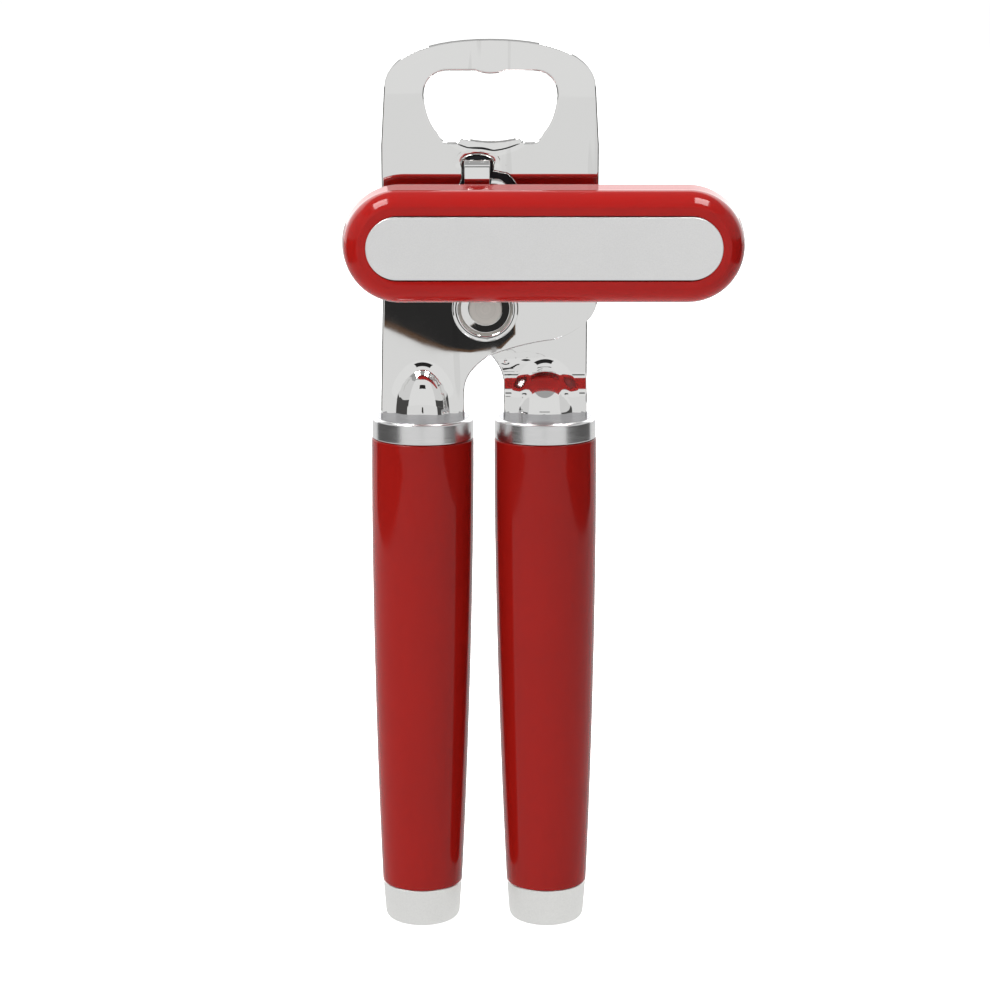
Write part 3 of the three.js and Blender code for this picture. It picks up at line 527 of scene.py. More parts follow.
def frontOutline():
    p = frontPlate
    left, right = plateX - p["halfWidth"], plateX + p["halfWidth"]
    foot = crownZ - p["crownRise"]
    crown = p["crownHalf"]
    notchZ = pivot.z - p["notchDown"]
    notchX = pivot.x + 0.6
    tangRight = leftFerrule.x + p["tangHalf"]
    tangEdge = rightFerrule.x + p["tangHalf"]
    shoulder = pivot.z + 1
    taper = pivot.z + p["taperUp"]
    return path(
        (left, taper),
        ((left + 0.4, foot - 6), (plateX - crown, foot)),
        ((plateX - crown + 0.3, crownZ - 3.4), (plateX - 13.5, crownZ), (plateX, crownZ)),
        ((plateX + 13.5, crownZ), (plateX + crown - 0.3, crownZ - 3.4), (plateX + crown, foot)),
        ((right - 0.4, foot - 6), (right, taper)),
        ((right, shoulder + 2),),
        ((right, shoulder - 1.8), (tangEdge, shoulder - 4)),
        ((tangEdge - 4, notchZ + 4.9), (tangEdge - 8.3, notchZ + 3.9)),
        ((notchX + 7.5, notchZ + 3), (notchX, notchZ)),
        ((notchX - 2.6, notchZ - 1.9), (tangRight + 0.1, notchZ - 4.2), (tangRight, notchZ - 8)),
        ((tangRight, ferruleTop - 1.2),),
        ((leftFerrule.x - p["tangHalf"], ferruleTop - 1.2),),
        ((leftFerrule.x - p["tangHalf"], ferruleTop + 2),),
        ((left, shoulder),))


# Bottle-opener hole: a small tooth above, the lifting lip below.
aperture = {"band": 7.3, "height": 16.2, "widestDown": 5.7, "half": 15.3, "topHalf": 9.6, "footHalf": 10.4,
            "corner": 3.2, "lipHalf": 6.8, "lipRise": 1.2, "lipSag": 0.95, "toothHalf": 2.5, "tooth": 0.7}


def apertureOutline():
    p = aperture
    x = plateX + 0.1
    top = crownZ - p["band"]
    foot = top - p["height"]
    wide = top - p["widestDown"]
    half, topHalf, footHalf, r = p["half"], p["topHalf"], p["footHalf"], p["corner"]
    lip = p["lipHalf"]
    return path(
        (x - p["toothHalf"] - 1, top),
        ((x, top - 2 * p["tooth"]), (x + p["toothHalf"] + 1, top)),
        ((x + topHalf, top),),
        ((x + half - 1.6, top), (x + half + 0.2, wide + 2.8), (x + half, wide)),
        ((x + half - 0.5, wide - 5.5), (x + footHalf + 1.8, foot + r - 1)),
        ((x + footHalf + 0.9, foot), (x + footHalf - 1, foot)),
        ((x + lip + 1, foot),),
        ((x + lip, foot + p["lipRise"]),),
        ((x, foot + p["lipRise"] - 2 * p["lipSag"]), (x - lip, foot + p["lipRise"])),
        ((x - lip - 1, foot),),
        ((x - footHalf + 1, foot),),
        ((x - footHalf - 0.9, foot), (x - footHalf - 1.8, foot + r - 1)),
        ((x - half + 0.5, wide - 5.5), (x - half, wide)),
        ((x - half - 0.2, wide + 2.8), (x - half + 1.6, top), (x - topHalf, top)))


# Sight window and the stud's slot below it, drawn as one opening.
window = {"leftOfStud": 3.6, "half": 3.4, "up": 9.1, "studRadius": 5.9, "headRadius": 4.7, "travel": 8.0}


def windowOutline():
    p = window
    x = cutter.x - p["leftOfStud"]
    top = cutter.z + p["up"]
    half = p["half"]
    spring = top - half * 0.8
    swing = math.radians(p["travel"])
    centre = Vector((pivot.x, pivot.z))
    arm = Vector((cutter.x - pivot.x, cutter.z - pivot.z))
    far = centre + Vector((arm.x * math.cos(swing) - arm.y * math.sin(swing),
                           arm.x * math.sin(swing) + arm.y * math.cos(swing)))
    right = arcRun(cutter.x, cutter.z, p["studRadius"], range(-80, 64, 6))
    left = arcRun(far.x, far.y, p["headRadius"], range(150, 282, 8))
    roof = path((x + half, cutter.z + 5.6), ((x + half, spring),),
                ((x + half, top - 0.6), (x + 2, top), (x, top)),
                ((x - 2, top), (x - half, top - 0.6), (x - half, spring)),
                ((x - half, cutter.z + 4.2),), detail=18)
    return right + roof + left


# Distance from a point to the nearest spot of an outline.
def nearness(outline, x, z):
    return min((point.x - x) ** 2 + (point.y - z) ** 2 for point in outline) ** 0.5


# A bullet rib pressed out of a tang: a dome grid that flares into the flat round it.
# Where the tang steps back, the dome slopes back in one run to the same depth.
rib = {"half": 6.1, "flare": 2.4, "lift": 0.7, "across": 40, "down": 56, "shell": 0.8}
leftRib = {"up": 11.0, "nose": 11.0, "depth": 3.9, "blunt": 2.4, "stepBack": 0.0}
rightRib = {"up": 11.4, "nose": 10.1, "depth": 3.3, "blunt": 1.12, "stepBack": rearFront - plateFront}


def ribPatch(x, shape, base):
    p = rib
    nose, deepest, blunt, stepBack = shape["nose"], shape["depth"], shape["blunt"], shape["stepBack"]
    bm = bmesh.new()
    top = ferruleTop + shape["up"]
    foot = ferruleTop - 1.2
    rows = []
    reach = p["half"] + p["flare"]
    for j in range(p["down"] + 1):
        t = j / p["down"]
        z = foot + (top + p["flare"] - foot) * (1 - (1 - t) ** 1.6)
        up = max(0.0, (z - (top - nose)) / nose)
        half = p["half"] * math.sqrt(max(0.0, 1 - up * up))
        rise = up * nose / (nose + p["flare"])
        width = max(0.02, reach * math.sqrt(max(0.0, 1 - rise ** 2)))
        row = []
        for i in range(p["across"] + 1):
            s = -math.cos(math.pi * i / p["across"])
            dx = width * s
            depth = 0.0
            profile = (1 - min(1.0, up) ** blunt) ** (1 / blunt)
            if stepBack > 0 and abs(dx) < p["half"]:
                crest = deepest * math.sqrt(1 - (dx / p["half"]) ** 2)
                depth = base(z) - plateFront + crest - (deepest + stepBack) * (1 - profile)
            elif half > 0.01:
                depth = deepest * math.sqrt(max(0.0, 1 - (dx / half) ** 2)) * profile
            edge = 1 - math.sqrt(min(1.0, (dx / reach) ** 2 + rise ** 2))
            away = edge * (reach + (nose + p["flare"] - reach) * min(1.0, up) ** 2)
            lift = p["lift"] * min(1.0, max(0.0, away / p["flare"])) ** 1.3
            row.append(bm.verts.new((x + dx, base(z) - 0.02 - max(depth, lift), z)))
        rows.append(row)
    for a, b in zip(rows, rows[1:]):
        for i in range(p["across"]):
            bm.faces.new((a[i], a[i + 1], b[i + 1], b[i]))
    bmesh.ops.remove_doubles(bm, verts=bm.verts, dist=0.01)
    bmesh.ops.dissolve_degenerate(bm, dist=0.005, edges=bm.edges)
    return bm


def makeFrontPlate():
    p = frontPlate
    opening = windowOutline()
    bm = flatPlate([frontOutline(), apertureOutline(), opening, circle(pivot.x, pivot.z, 3.3, 40),
                    circle(crank.x, crank.z, 5.7, 48)], plateFront, plateThick, p["edge"])
    midX = plateX + 0.1
    lipFoot = crownZ - aperture["band"] - aperture["height"]
    low, high = lipFoot - p["gridDown"], lipFoot + p["gridUp"]
    left, right = midX - p["gridHalf"], midX + p["gridHalf"]
    gridCut(bm, steps(left, right, 0.28), steps(low, high, 0.22), (left, right), (low, high))
    for vert in bm.verts:
        x, z = vert.co.x, vert.co.z
        if not (left - 0.1 < x < right + 0.1 and low - 0.1 < z < high + 0.1):
            continue
        t = (x - midX + p["foldLeft"]) / p["foldHalf"]
        fold = lipFoot + 0.35 - p["foldSag"] * max(0.0, 1 - t * t)
        over = z - fold
        if over > 0 and abs(t) < 1:
            bend = over * over / (over + 0.35)
            vert.co.y += bend * p["lipTilt"] * min(1.0, 4 * (1 - abs(t)))
        if abs(t) < 1:
            vert.co.y += p["crease"] * math.exp(-(over / p["creaseHalf"]) ** 2) * min(1.0, 6 * (1 - abs(t)))
        near = nearness(opening, x, z)
        if near < p["windowReach"] and z > cutter.z + 5.2:
            inward = p["windowReach"] - near
            roll = p["gentle"] * inward ** 2 + p["steep"] * max(0.0, inward - p["steepFrom"]) ** 2
            vert.co.y += roll * ease((z - cutter.z - 6.4) / 1.6)
    finishPiece("frontPlateSheet", bm, chrome, "front_arm", ["front_plate"], sheet=True)


makeFrontPlate()


# The strip that stands in front of the stud's head and turns back through the window.
guide = {"leftOfStud": 3.7, "half": 3.0, "thick": 1.3, "forward": 2.2, "up": 8.45, "footRun": 6.2,
         "bend": 2.7, "back": 1.2}


def makeGuide():
    p = guide
    face = plateFront - p["forward"]
    rootY = plateFront + 0.3
    x = cutter.x - p["leftOfStud"]
    root = cutter.z - window["studRadius"] - p["footRun"]
    step = cutter.z - window["studRadius"] - 1.8
    crest = cutter.z + p["up"]
    line = path((rootY, root), ((rootY, root + 1.2),),
                ((rootY, root + 3), (face, step - 1.8), (face, step)),
                ((face + 0.14, crest - 8.0),), ((face + 0.14, crest - 4.6),), ((face + 0.24, crest - 2.9),),
                ((face + 0.34, crest - 2.4),),
                ((face + 0.34, crest - 0.9), (face + 1.0, crest), (face + p["bend"], crest)),
                ((face + p["bend"] + p["back"], crest - 0.25),), detail=12)
    bm = bmesh.new()
    rows = []
    across = [-1.0, -0.985, -0.95, -0.6, -0.2, 0.2, 0.6, 0.95, 0.985, 1.0]
    sink = [0.35, 0.12, 0.0, 0.0, 0.0, 0.0, 0.0, 0.0, 0.12, 0.35]
    for i, point in enumerate(line):
        before = line[max(i - 1, 0)]
        after = line[min(i + 1, len(line) - 1)]
        along = (after - before).normalized()
        side = Vector((along.y, -along.x))
        rows.append([bm.verts.new((x + p["half"] * a, point.x + side.x * s, point.y + side.y * s))
                     for a, s in zip(across, sink)])
    for a, b in zip(rows, rows[1:]):
        for i in range(len(across) - 1):
            bm.faces.new((a[i], a[i + 1], b[i + 1], b[i]))
    bmesh.ops.recalc_face_normals(bm, faces=bm.faces)
    front = min(bm.faces, key=lambda f: f.calc_center_median().y)
    if front.normal.y > 0:
        bmesh.ops.reverse_faces(bm, faces=bm.faces)
    bmesh.ops.solidify(bm, geom=bm.faces[:], thickness=p["thick"])
    finishPiece("rimGuide", bm, chrome, "front_arm", angle=40)


makeGuide()


def makeRib(name, x, shape, body, base):
    bm = ribPatch(x, shape, base)
    if bm.faces[:][0].normal.y > 0:
        bmesh.ops.reverse_faces(bm, faces=bm.faces)
    bmesh.ops.solidify(bm, geom=bm.faces[:], thickness=rib["shell"])
    finishPiece(name, bm, chrome, body, angle=60, weighted=False)


# Rear plate: pivot, cutter stud and the right tang, stepped forward below the pivot.
# A dent says how far right of the tang's middle and above the step it lies, its half width,
# its half height and its depth. It moves both faces, so it stands up on the back.
rearPlate = {"tangHalf": 9.85, "headRadius": 8.2, "jogDown": 15.6, "jogHeight": 5.0, "edge": 0.5,
             "gridLeft": 14.5, "gridRight": 10.5, "gridDown": 1.0, "gridUp": 6.0,
             "dents": [(-9.4, 3.3, 1.6, 1.1, 0.55), (-4.6, 3.6, 2.6, 0.8, 0.3)]}


# Front face of the rear plate at a height: it steps forward below the pivot.
def rearFace(z):
    p = rearPlate
    top = pivot.z - p["jogDown"]
    return rearFront - (rearFront - plateFront) * ease((top + 0.3 - z) / (p["jogHeight"] + 0.6))


makeRib("leftTangRib", leftFerrule.x, leftRib, "front_arm", lambda z: plateFront)
makeRib("rightTangRib", rightFerrule.x, rightRib, "rear_arm", rearFace)


def rearOutline():
    p = rearPlate
    left, right = rightFerrule.x - p["tangHalf"], rightFerrule.x + p["tangHalf"]
    notchZ = pivot.z - frontPlate["notchDown"]
    head = p["headRadius"]
    armRight = crank.x - 7.1
    over = arcRun(cutter.x, cutter.z, head, range(180, 17, -6))
    first = path((left, ferruleTop + 8),
                 ((left - 0.2, notchZ - 3.5), (left - 2, notchZ - 0.9), (left - 3.4, notchZ + 0.4)),
                 ((pivot.x - 9.4, pivot.z - 7), (pivot.x - 9.2, pivot.z + 1)),
                 ((cutter.x - head, cutter.z - 2),))
    last = path(over[-1],
                ((armRight + 1.2, cutter.z - 3), (armRight, crank.z + 3)),
                ((armRight, crank.z - 5),),
                ((armRight + 1, pivot.z + 6), (right - 4, pivot.z + 3.4)),
                ((right, pivot.z + 2), (right, pivot.z - 2)),
                ((right, ferruleTop - 1.2),), ((left, ferruleTop - 1.2),))
    return first + over + last[1:]


def makeRearPlate():
    p = rearPlate
    bm = flatPlate([rearOutline(), circle(pivot.x, pivot.z, 3.3, 40), circle(cutter.x, cutter.z, 2.9, 40)],
                   rearFront, plateThick, p["edge"])
    top = pivot.z - p["jogDown"]
    foot = top - p["jogHeight"]
    left, right = rightFerrule.x - p["gridLeft"], rightFerrule.x + p["gridRight"]
    low, high = foot - p["gridDown"], top + p["gridUp"]
    gridCut(bm, steps(left, right, 0.5), steps(low, high, 0.3), (left, right), (low, high))
    for vert in bm.verts:
        vert.co.y += rearFace(vert.co.z) - rearFront
        for dx, dz, wide, tall, deep in p["dents"]:
            away = ((vert.co.x - rightFerrule.x - dx) / wide) ** 2 + ((vert.co.z - top - dz) / tall) ** 2
            vert.co.y += deep * math.exp(-away)
    finishPiece("rearPlateSheet", bm, chrome, "rear_arm", ["rear_plate"], sheet=True)


makeRearPlate()
print("plates made")


# Handles: satin ferrule with a darker disc on top, its darkness painted shade from the plates above, red
# grip, satin cap; core and rod inside.
# Ferrule, grip and cap are shells whose open ends lie hidden in their neighbours.
ferrule = {"radius": 11.95, "rim": 0.75, "lip": 0.35, "wall": 1.5, "discInset": 0.9}
grip = {"top": 12.05, "foot": 9.72, "upperFull": 0.25, "lowerFull": 1.38, "edge": 0.28}
cap = {"top": 9.66, "foot": 8.95, "edge": 1.7, "height": 9.47}
core = {"radius": 8.4, "foot": 36.2, "top": 2.0}
rod = {"radius": 2.0, "foot": 12.6, "top": 96.6}


def gripLine():
    p = grip
    footZ, topZ = gripFoot, ferruleFoot - 0.05
    length = topZ - footZ
    a, b = Vector((p["foot"], footZ + p["edge"], 0)), Vector((p["top"], topZ - p["edge"], 0))
    c = Vector((p["foot"] + p["lowerFull"], footZ + 0.277 * length, 0))
    d = Vector((p["top"] + p["upperFull"], topZ - 0.31 * length, 0))
    run = [v.to_2d() for v in interpolate_bezier(a, c, d, b, 60)]
    foot = rounded([(p["foot"] - 3, footZ, 0), (p["foot"], footZ, p["edge"]),
                    (p["foot"], footZ + 4, 0)], 4)[:-1]
    top = rounded([(p["top"], topZ - 4, 0), (p["top"], topZ, p["edge"]), (p["top"] - 1.5, topZ, 0)], 4)[1:]
    return foot[:-1] + run + top[1:]


def makeHandle(side, body):
    turn = handleTurn(side)
    base = Vector((0, 0, 0))
    r = ferrule["radius"]
    shell = rounded([(0, ferruleTop, 0), (r, ferruleTop, ferrule["rim"]), (r, ferruleFoot, ferrule["lip"]),
                     (r - ferrule["wall"], ferruleFoot, 0)], 8)
    finishPiece(side + "FerruleShell", turned(shell, "Z", base, 160), ferruleSatin, body,
                [side + "_ferrule"], 50, True, turn)
    # Painted shade: a thin darker disc over the ferrule top, for the shade under the plates.
    inner = r - ferrule["discInset"]
    lid = rounded([(0, ferruleTop + 0.03, 0), (inner, ferruleTop + 0.03, 0.02), (inner, ferruleTop - 0.1, 0),
                   (0, ferruleTop - 0.1, 0)], 2)
    finishPiece(side + "FerruleShadeDisc", turned(lid, "Z", base, 128), ferruleTopShade, body, angle=50,
                turn=turn)
    finishPiece(side + "GripSleeve", turned(gripLine(), "Z", base, 160), redGrip, body,
                [side + "_grip"], 50, False, turn)
    low, high = ferruleTop - core["foot"], ferruleTop - core["top"]
    plug = rounded([(0, low, 0), (core["radius"], low, 0.5), (core["radius"], high, 0.3), (0, high, 0)], 3)
    finishPiece(side + "CorePlug", turned(plug, "Z", base, 48), darkCore, body,
                [side + "_core"], 50, False, turn)
    pin = rounded([(0, rod["foot"], 0), (rod["radius"], rod["foot"], 0.4), (rod["radius"], rod["top"], 0.4),
                   (0, rod["top"], 0)], 3)
    finishPiece(side + "TieRodPin", turned(pin, "Z", base, 32), steel, body,
                [side + "_tie_rod"], 50, False, turn)
    foot = middle(side + "_end_cap")
    cup = rounded([(0, 0, 0), (cap["foot"], 0, cap["edge"]), (cap["top"], cap["height"], 0.25),
                   (cap["top"] - 2, cap["height"], 0)], 10)
    finishPiece(side + "CapCup", turned(cup, "Z", Vector((foot.x, foot.y, 0)), 160), capSatin, body,
                [side + "_end_cap"], 50, True)


makeHandle("left", "front_arm")
makeHandle("right", "rear_arm")
print("handles made")


# Pivot: a dished bright washer with the rivet's flat head in its middle.
pivotPart = {"washer": 7.8, "wall": 5.72, "dish": 4.05, "dishDepth": 0.95, "washerHeight": 1.55, "head": 3.86,
             "headDown": 0.22, "shank": 3.0, "tail": 5.0, "tailHeight": 1.75}


def makePivot():
    p = pivotPart
    back = plateFront
    front = back - p["washerHeight"]
    spot = Vector((pivot.x, 0, pivot.z))
    floor = front + p["dishDepth"]
    washer = rounded([(p["washer"] - 0.2, back + 0.05, 0), (p["washer"], back - 0.5, 0.3),
                      (p["washer"] - 0.18, front, 0.5), (p["wall"] + 0.75, front, 0.45),
                      (p["wall"], floor, 0.1), (p["wall"] - 0.25, floor + 0.005, 0),
                      (p["dish"], floor + 0.032, 0), (p["dish"], back + 0.05, 0)], 8)
    bm = turned(washer, "Y", spot, 128)
    finishPiece("pivotWasherRing", bm, chrome, "front_arm", ["pivot_washer"], 60, False)
    headFront = front + p["headDown"]
    tailBack = rearBack + p["tailHeight"]
    head = rounded([(0, headFront, 0), (p["head"], headFront, 0.25), (p["head"], back + 0.2, 0),
                    (p["shank"], back + 0.2, 0), (p["shank"], rearBack, 0), (p["tail"], rearBack + 0.15, 0.1),
                    (p["tail"], tailBack, 1.2), (0, tailBack, 0)], 8)
    bm = turned(head, "Y", spot, 96)
    finishPiece("pivotRivetPin", bm, pivotTurned, "front_arm", ["pivot_rivet"], 50, True)


makePivot()


# Cutting wheel, its stud with a domed head, and the retainer behind.
stud = {"head": 4.2, "dome": 1.25, "shank": 2.6, "behind": 5.2}
disc = {"behind": 0.9, "thick": 2.4, "bore": 2.75, "hub": 4.6, "face": 6.4, "rim": 8.6, "back": 8.05}
keeper = {"bore": 2.65, "radius": 3.9, "near": 0.2, "far": 1.5}


def makeCutter():
    spot = Vector((cutter.x, 0, cutter.z))
    headBack = rearFront - 0.32
    dome = []
    for i in range(17):
        angle = math.pi / 2 * i / 16
        y = headBack - 0.25 - stud["dome"] * math.cos(angle)
        dome.append(Vector((stud["head"] * math.sin(angle), y)))
    tail = rearBack + stud["behind"]
    line = dome + rounded([(stud["head"], headBack - 0.2, 0), (stud["head"], headBack, 0.05),
                           (stud["shank"], headBack, 0), (stud["shank"], tail, 0.4), (0, tail, 0)], 4)
    finishPiece("cutterStudPin", turned(line, "Y", spot, 96), chrome, "rear_arm",
                ["cutter_stud"], 50)
    front = rearBack + disc["behind"]
    back = front + disc["thick"]
    hub = front - 0.6
    line = rounded([(disc["bore"], hub, 0), (disc["hub"], hub, 0.2), (disc["hub"], front, 0.2),
                    (disc["face"], front, 0.3), (disc["rim"], front + 1.8, 0.06), (disc["back"], back, 0.15),
                    (disc["bore"], back, 0)], 4)
    line.append(line[0].copy())
    finishPiece("cutterDisc", turned(line, "Y", spot, 128), cutterGround, "cutter",
                ["cutter_wheel"], 28)
    near, far = back + keeper["near"], back + keeper["far"]
    line = rounded([(keeper["bore"], near, 0), (keeper["radius"], near, 0.2), (keeper["radius"], far, 0.4),
                    (keeper["bore"], far, 0)], 4)
    line.append(line[0].copy())
    finishPiece("cutterRetainerRing", turned(line, "Y", spot, 64), steel, "rear_arm",
                ["cutter_retainer"], 50)


makeCutter()


# Painted shade: a near-black sheet between the two arms, seen dark through the window where the gap lies in
# shade.
gapShadeSheet = {"left": 1.2, "up": 1.5, "radius": 9.6, "bore": 2.9, "thick": 0.25}


# Painted shade: this sheet's dark colour stands in for the shade between the arms.
def makeGapShadeSheet():
    p = gapShadeSheet
    rim = circle(cutter.x - p["left"], cutter.z + p["up"], p["radius"], 72)
    bm = flatPlate([rim, circle(cutter.x, cutter.z, p["bore"], 40)], rearFront - 0.3, p["thick"], 0.05, 1)
    finishPiece("windowGapShadeSheet", bm, shadeSheetSteel, "rear_arm", sheet=True)


makeGapShadeSheet()


# The turning bar: a stadium with big soft front edges and a shallow seat for its inlay.
bar = {"halfLength": 45.8, "half": 13.35, "draft": 0.7, "depth": 13.0, "width": 3.6, "seat": 7.3,
       "front": 6.3, "back": 1.0, "crease": 17.0, "seatDepth": 1.2, "steps": 96}
inlay = {"halfLength": 39.85, "half": 7.05, "edge": 7.02}


# A profile of radius and depth, swept round a stadium about the crank's axis.
def stadiumSolid(profile, halfLength, half, count):
    bm = bmesh.new()
    reach = halfLength - half
    rows = []
    for sign, turn in ((1, 0), (-1, math.pi)):
        for i in range(count // 2 + 1):
            angle = math.pi / 2 - math.pi * i / (count // 2) + turn
            x, z = crank.x + sign * reach, crank.z
            across, up = math.cos(angle), math.sin(angle)
            rows.append([bm.verts.new((x + r * across, y, z + r * up)) for r, y in profile])
    for a, b in zip(rows, rows[1:] + rows[:1]):
        for i in range(len(profile) - 1):
            bm.faces.new([a[i], a[i + 1], b[i + 1], b[i]])
    bmesh.ops.remove_doubles(bm, verts=bm.verts, dist=1e-4)
    bmesh.ops.dissolve_degenerate(bm, dist=1e-4, edges=bm.edges)
    return bm


def makeBar():
    p = bar
    front = knobBack - p["depth"]
    side = p["half"] - p["draft"]
    start = math.radians(p["crease"])
    arc = []
    for i in range(25):
        angle = start + (math.pi / 2 - start) * i / 24
        inset = p["width"] * (1 - math.sin(angle)) / (1 - math.sin(start))
        arc.append(Vector((side - inset, front + p["front"] * (math.cos(start) - math.cos(angle)))))
    floor = front + p["seatDepth"]
    line = rounded([(0, floor, 0), (p["seat"], floor, 0.05), (p["seat"], front, 0.12),
                    (arc[0].x - 0.12, front, 0.0)], 10)
    line += arc[1:]
    line += rounded([tuple(arc[-1]) + (0,), (p["half"], knobBack, p["back"]), (0, knobBack, 0)], 10)[1:]
    bm = stadiumSolid(line, p["halfLength"], p["half"], p["steps"])
    finishPiece("barMoulding", bm, redKnob, "crank", ["crank_knob"], 40)
    face = front - 0.1
    edge = rounded([(0, face, 0), (inlay["edge"], face, 0.18), (inlay["edge"], floor, 0), (0, floor, 0)], 4)
    bm = stadiumSolid(edge, inlay["halfLength"], inlay["half"], p["steps"])
    finishPiece("barInlay", bm, insertSatin, "crank", ["crank_insert"], 40)


makeBar()


# The crank's shaft with its hub, the washer and bush it runs in, the feed wheel and its nut.
shaft = {"radius": 3.6, "bore": 3.8, "hub": 8.0, "hubFront": 7.9, "intoBar": 2.9, "hubGap": 2.45}
bush = {"flange": 7.4, "sleeve": 5.4, "proud": 1.2}
thrust = {"bore": 3.7, "radius": 7.4, "near": 1.5, "far": 2.3}
feed = {"radius": 6.4, "root": 5.5, "teeth": 22, "width": 4.0, "behind": 3.8, "edge": 0.12}
nut = {"across": 9.0, "thick": 2.6, "edge": 0.25}
wheelFront = rearBack + feed["behind"]
nutFront = wheelFront + feed["width"] + 0.15


def makeShaftParts():
    spot = Vector((crank.x, 0, crank.z))
    nutBack = nutFront + nut["thick"] + 0.1
    hubFront, hubBack = knobBack - shaft["intoBar"], plateFront - shaft["hubGap"]
    line = rounded([(0, hubFront, 0), (shaft["hubFront"], hubFront, 0.2), (shaft["hub"], hubBack, 0.5),
                    (shaft["radius"], hubBack, 0), (shaft["radius"], nutBack, 0.5), (0, nutBack, 0)], 4)
    finishPiece("hubShaft", turned(line, "Y", spot, 96), crankTurned, "crank",
                ["crank_shaft"], 40)
    near, far = plateFront - thrust["near"], plateFront - thrust["far"]
    line = rounded([(thrust["bore"], far, 0), (thrust["radius"], far, 0.2), (thrust["radius"], near, 0.2),
                    (thrust["bore"], near, 0)], 4)
    line.append(line[0].copy())
    finishPiece("thrustRing", turned(line, "Y", spot, 96), crankTurned, "crank",
                ["thrust_washer"], 40)
    flange, seat, tail = plateFront - bush["proud"], plateFront - 0.05, wheelFront - 0.3
    line = rounded([(shaft["bore"], flange, 0), (bush["flange"], flange, 0.25), (bush["flange"], seat, 0.1),
                    (bush["sleeve"], seat, 0), (bush["sleeve"], tail, 0.2), (shaft["bore"], tail, 0)], 4)
    line.append(line[0].copy())
    finishPiece("bushSleeve", turned(line, "Y", spot, 96), crankTurned, "front_arm",
                ["shaft_bush"], 40)


def breakEdges(bm, offset, segments):
    bmesh.ops.bevel(bm, geom=bm.edges[:], offset=offset, offset_type="OFFSET", affect="EDGES",
                    segments=segments, profile=0.5, material=-1)


# The toothed wheel that walks round the can's rim.
def makeFeedGear():
    bm = bmesh.new()
    verts = []
    for i in range(feed["teeth"]):
        for share, radius in ((0.0, feed["root"]), (0.4, feed["radius"]), (0.6, feed["radius"])):
            angle = math.tau * (i + share) / feed["teeth"]
            x, z = crank.x + radius * math.cos(angle), crank.z + radius * math.sin(angle)
            verts.append(bm.verts.new((x, wheelFront, z)))
    face = bm.faces.new(verts)
    made = bmesh.ops.extrude_face_region(bm, geom=[face])["geom"]
    far = [v for v in made if isinstance(v, bmesh.types.BMVert)]
    bmesh.ops.translate(bm, vec=(0, feed["width"], 0), verts=far)
    breakEdges(bm, feed["edge"], 2)
    finishPiece("feedGear", bm, cutterGround, "crank", ["feed_wheel"], 35)


def makeFeedNut():
    bm = bmesh.new()
    corner = nut["across"] / math.sqrt(3)
    bmesh.ops.create_cone(bm, cap_ends=True, segments=6, radius1=corner, radius2=corner, depth=nut["thick"])
    bmesh.ops.rotate(bm, cent=(0, 0, 0), matrix=Matrix.Rotation(math.pi / 2, 3, "X"), verts=bm.verts)
    bmesh.ops.translate(bm, vec=(crank.x, nutFront + nut["thick"] / 2, crank.z), verts=bm.verts)
    breakEdges(bm, nut["edge"], 3)
    finishPiece("feedNutHex", bm, steel, "crank", ["feed_nut"], 35)


makeShaftParts()
makeFeedGear()
makeFeedNut()
print("mechanism made")


# Studio: a pale floor for the camera, and soft sources that only the gloss can see.
def plainMaterial(name, colour, roughness):
    material, tree, shader, place = newMaterial(name, colour, 0.0, roughness)
    mottle = node(tree, "ShaderNodeTexNoise")
    mottle.inputs["Scale"].default_value = 6.0
    tree.links.new(place, mottle.inputs["Vector"])
    tint(tree, mottle.outputs["Fac"], tuple(c * 0.985 for c in colour), colour, shader.inputs["Base Color"])
    return material


def glowMaterial(name, colour, strength):
    material = bpy.data.materials.new(name)
    material.use_nodes = True
    tree = material.node_tree
    tree.nodes.clear()
    glow = node(tree, "ShaderNodeEmission")
    glow.inputs["Color"].default_value = (*colour, 1.0)
    glow.inputs["Strength"].default_value = strength
    out = node(tree, "ShaderNodeOutputMaterial")
    tree.links.new(glow.outputs[0], out.inputs["Surface"])
    return material


# A thing of the studio, made from rings of corners in millimetres, one face to a ring.
def setPiece(name, faces, material, unseenBy=()):
    bm = bmesh.new()
    for corners in faces:
        bm.faces.new([bm.verts.new(Vector(c) * mm) for c in corners])
    bmesh.ops.remove_doubles(bm, verts=bm.verts, dist=1e-6)
    mesh = bpy.data.meshes.new(name)
    bm.to_mesh(mesh)
    bm.free()
    mesh.materials.append(material)
    made = bpy.data.objects.new(name, mesh)
    bpy.context.collection.objects.link(made)
    for rays in unseenBy:
        setattr(made, "visible_" + rays, False)
    return made


allButGloss = ("camera", "diffuse", "shadow", "transmission", "volume_scatter")


# A flat card that only mirror-like rays can see.
def card(name, corners, colour, strength):
    setPiece(name, [corners], glowMaterial(name, colour, strength), allButGloss)


# A card standing upright on an arc about the object, between two bearings seen from above.
def wall(name, fromDeg, toDeg, low, high, colour, strength):
    count = 12
    radius = studio["radius"]
    spots = []
    for i in range(count + 1):
        angle = math.radians(fromDeg + (toDeg - fromDeg) * i / count)
        spots.append((radius * math.sin(angle) + plateX, -radius * math.cos(angle)))
    faces = [[(*a, low), (*b, low), (*b, high), (*a, high)] for a, b in zip(spots, spots[1:])]
    setPiece(name, faces, glowMaterial(name, colour, strength), allButGloss)


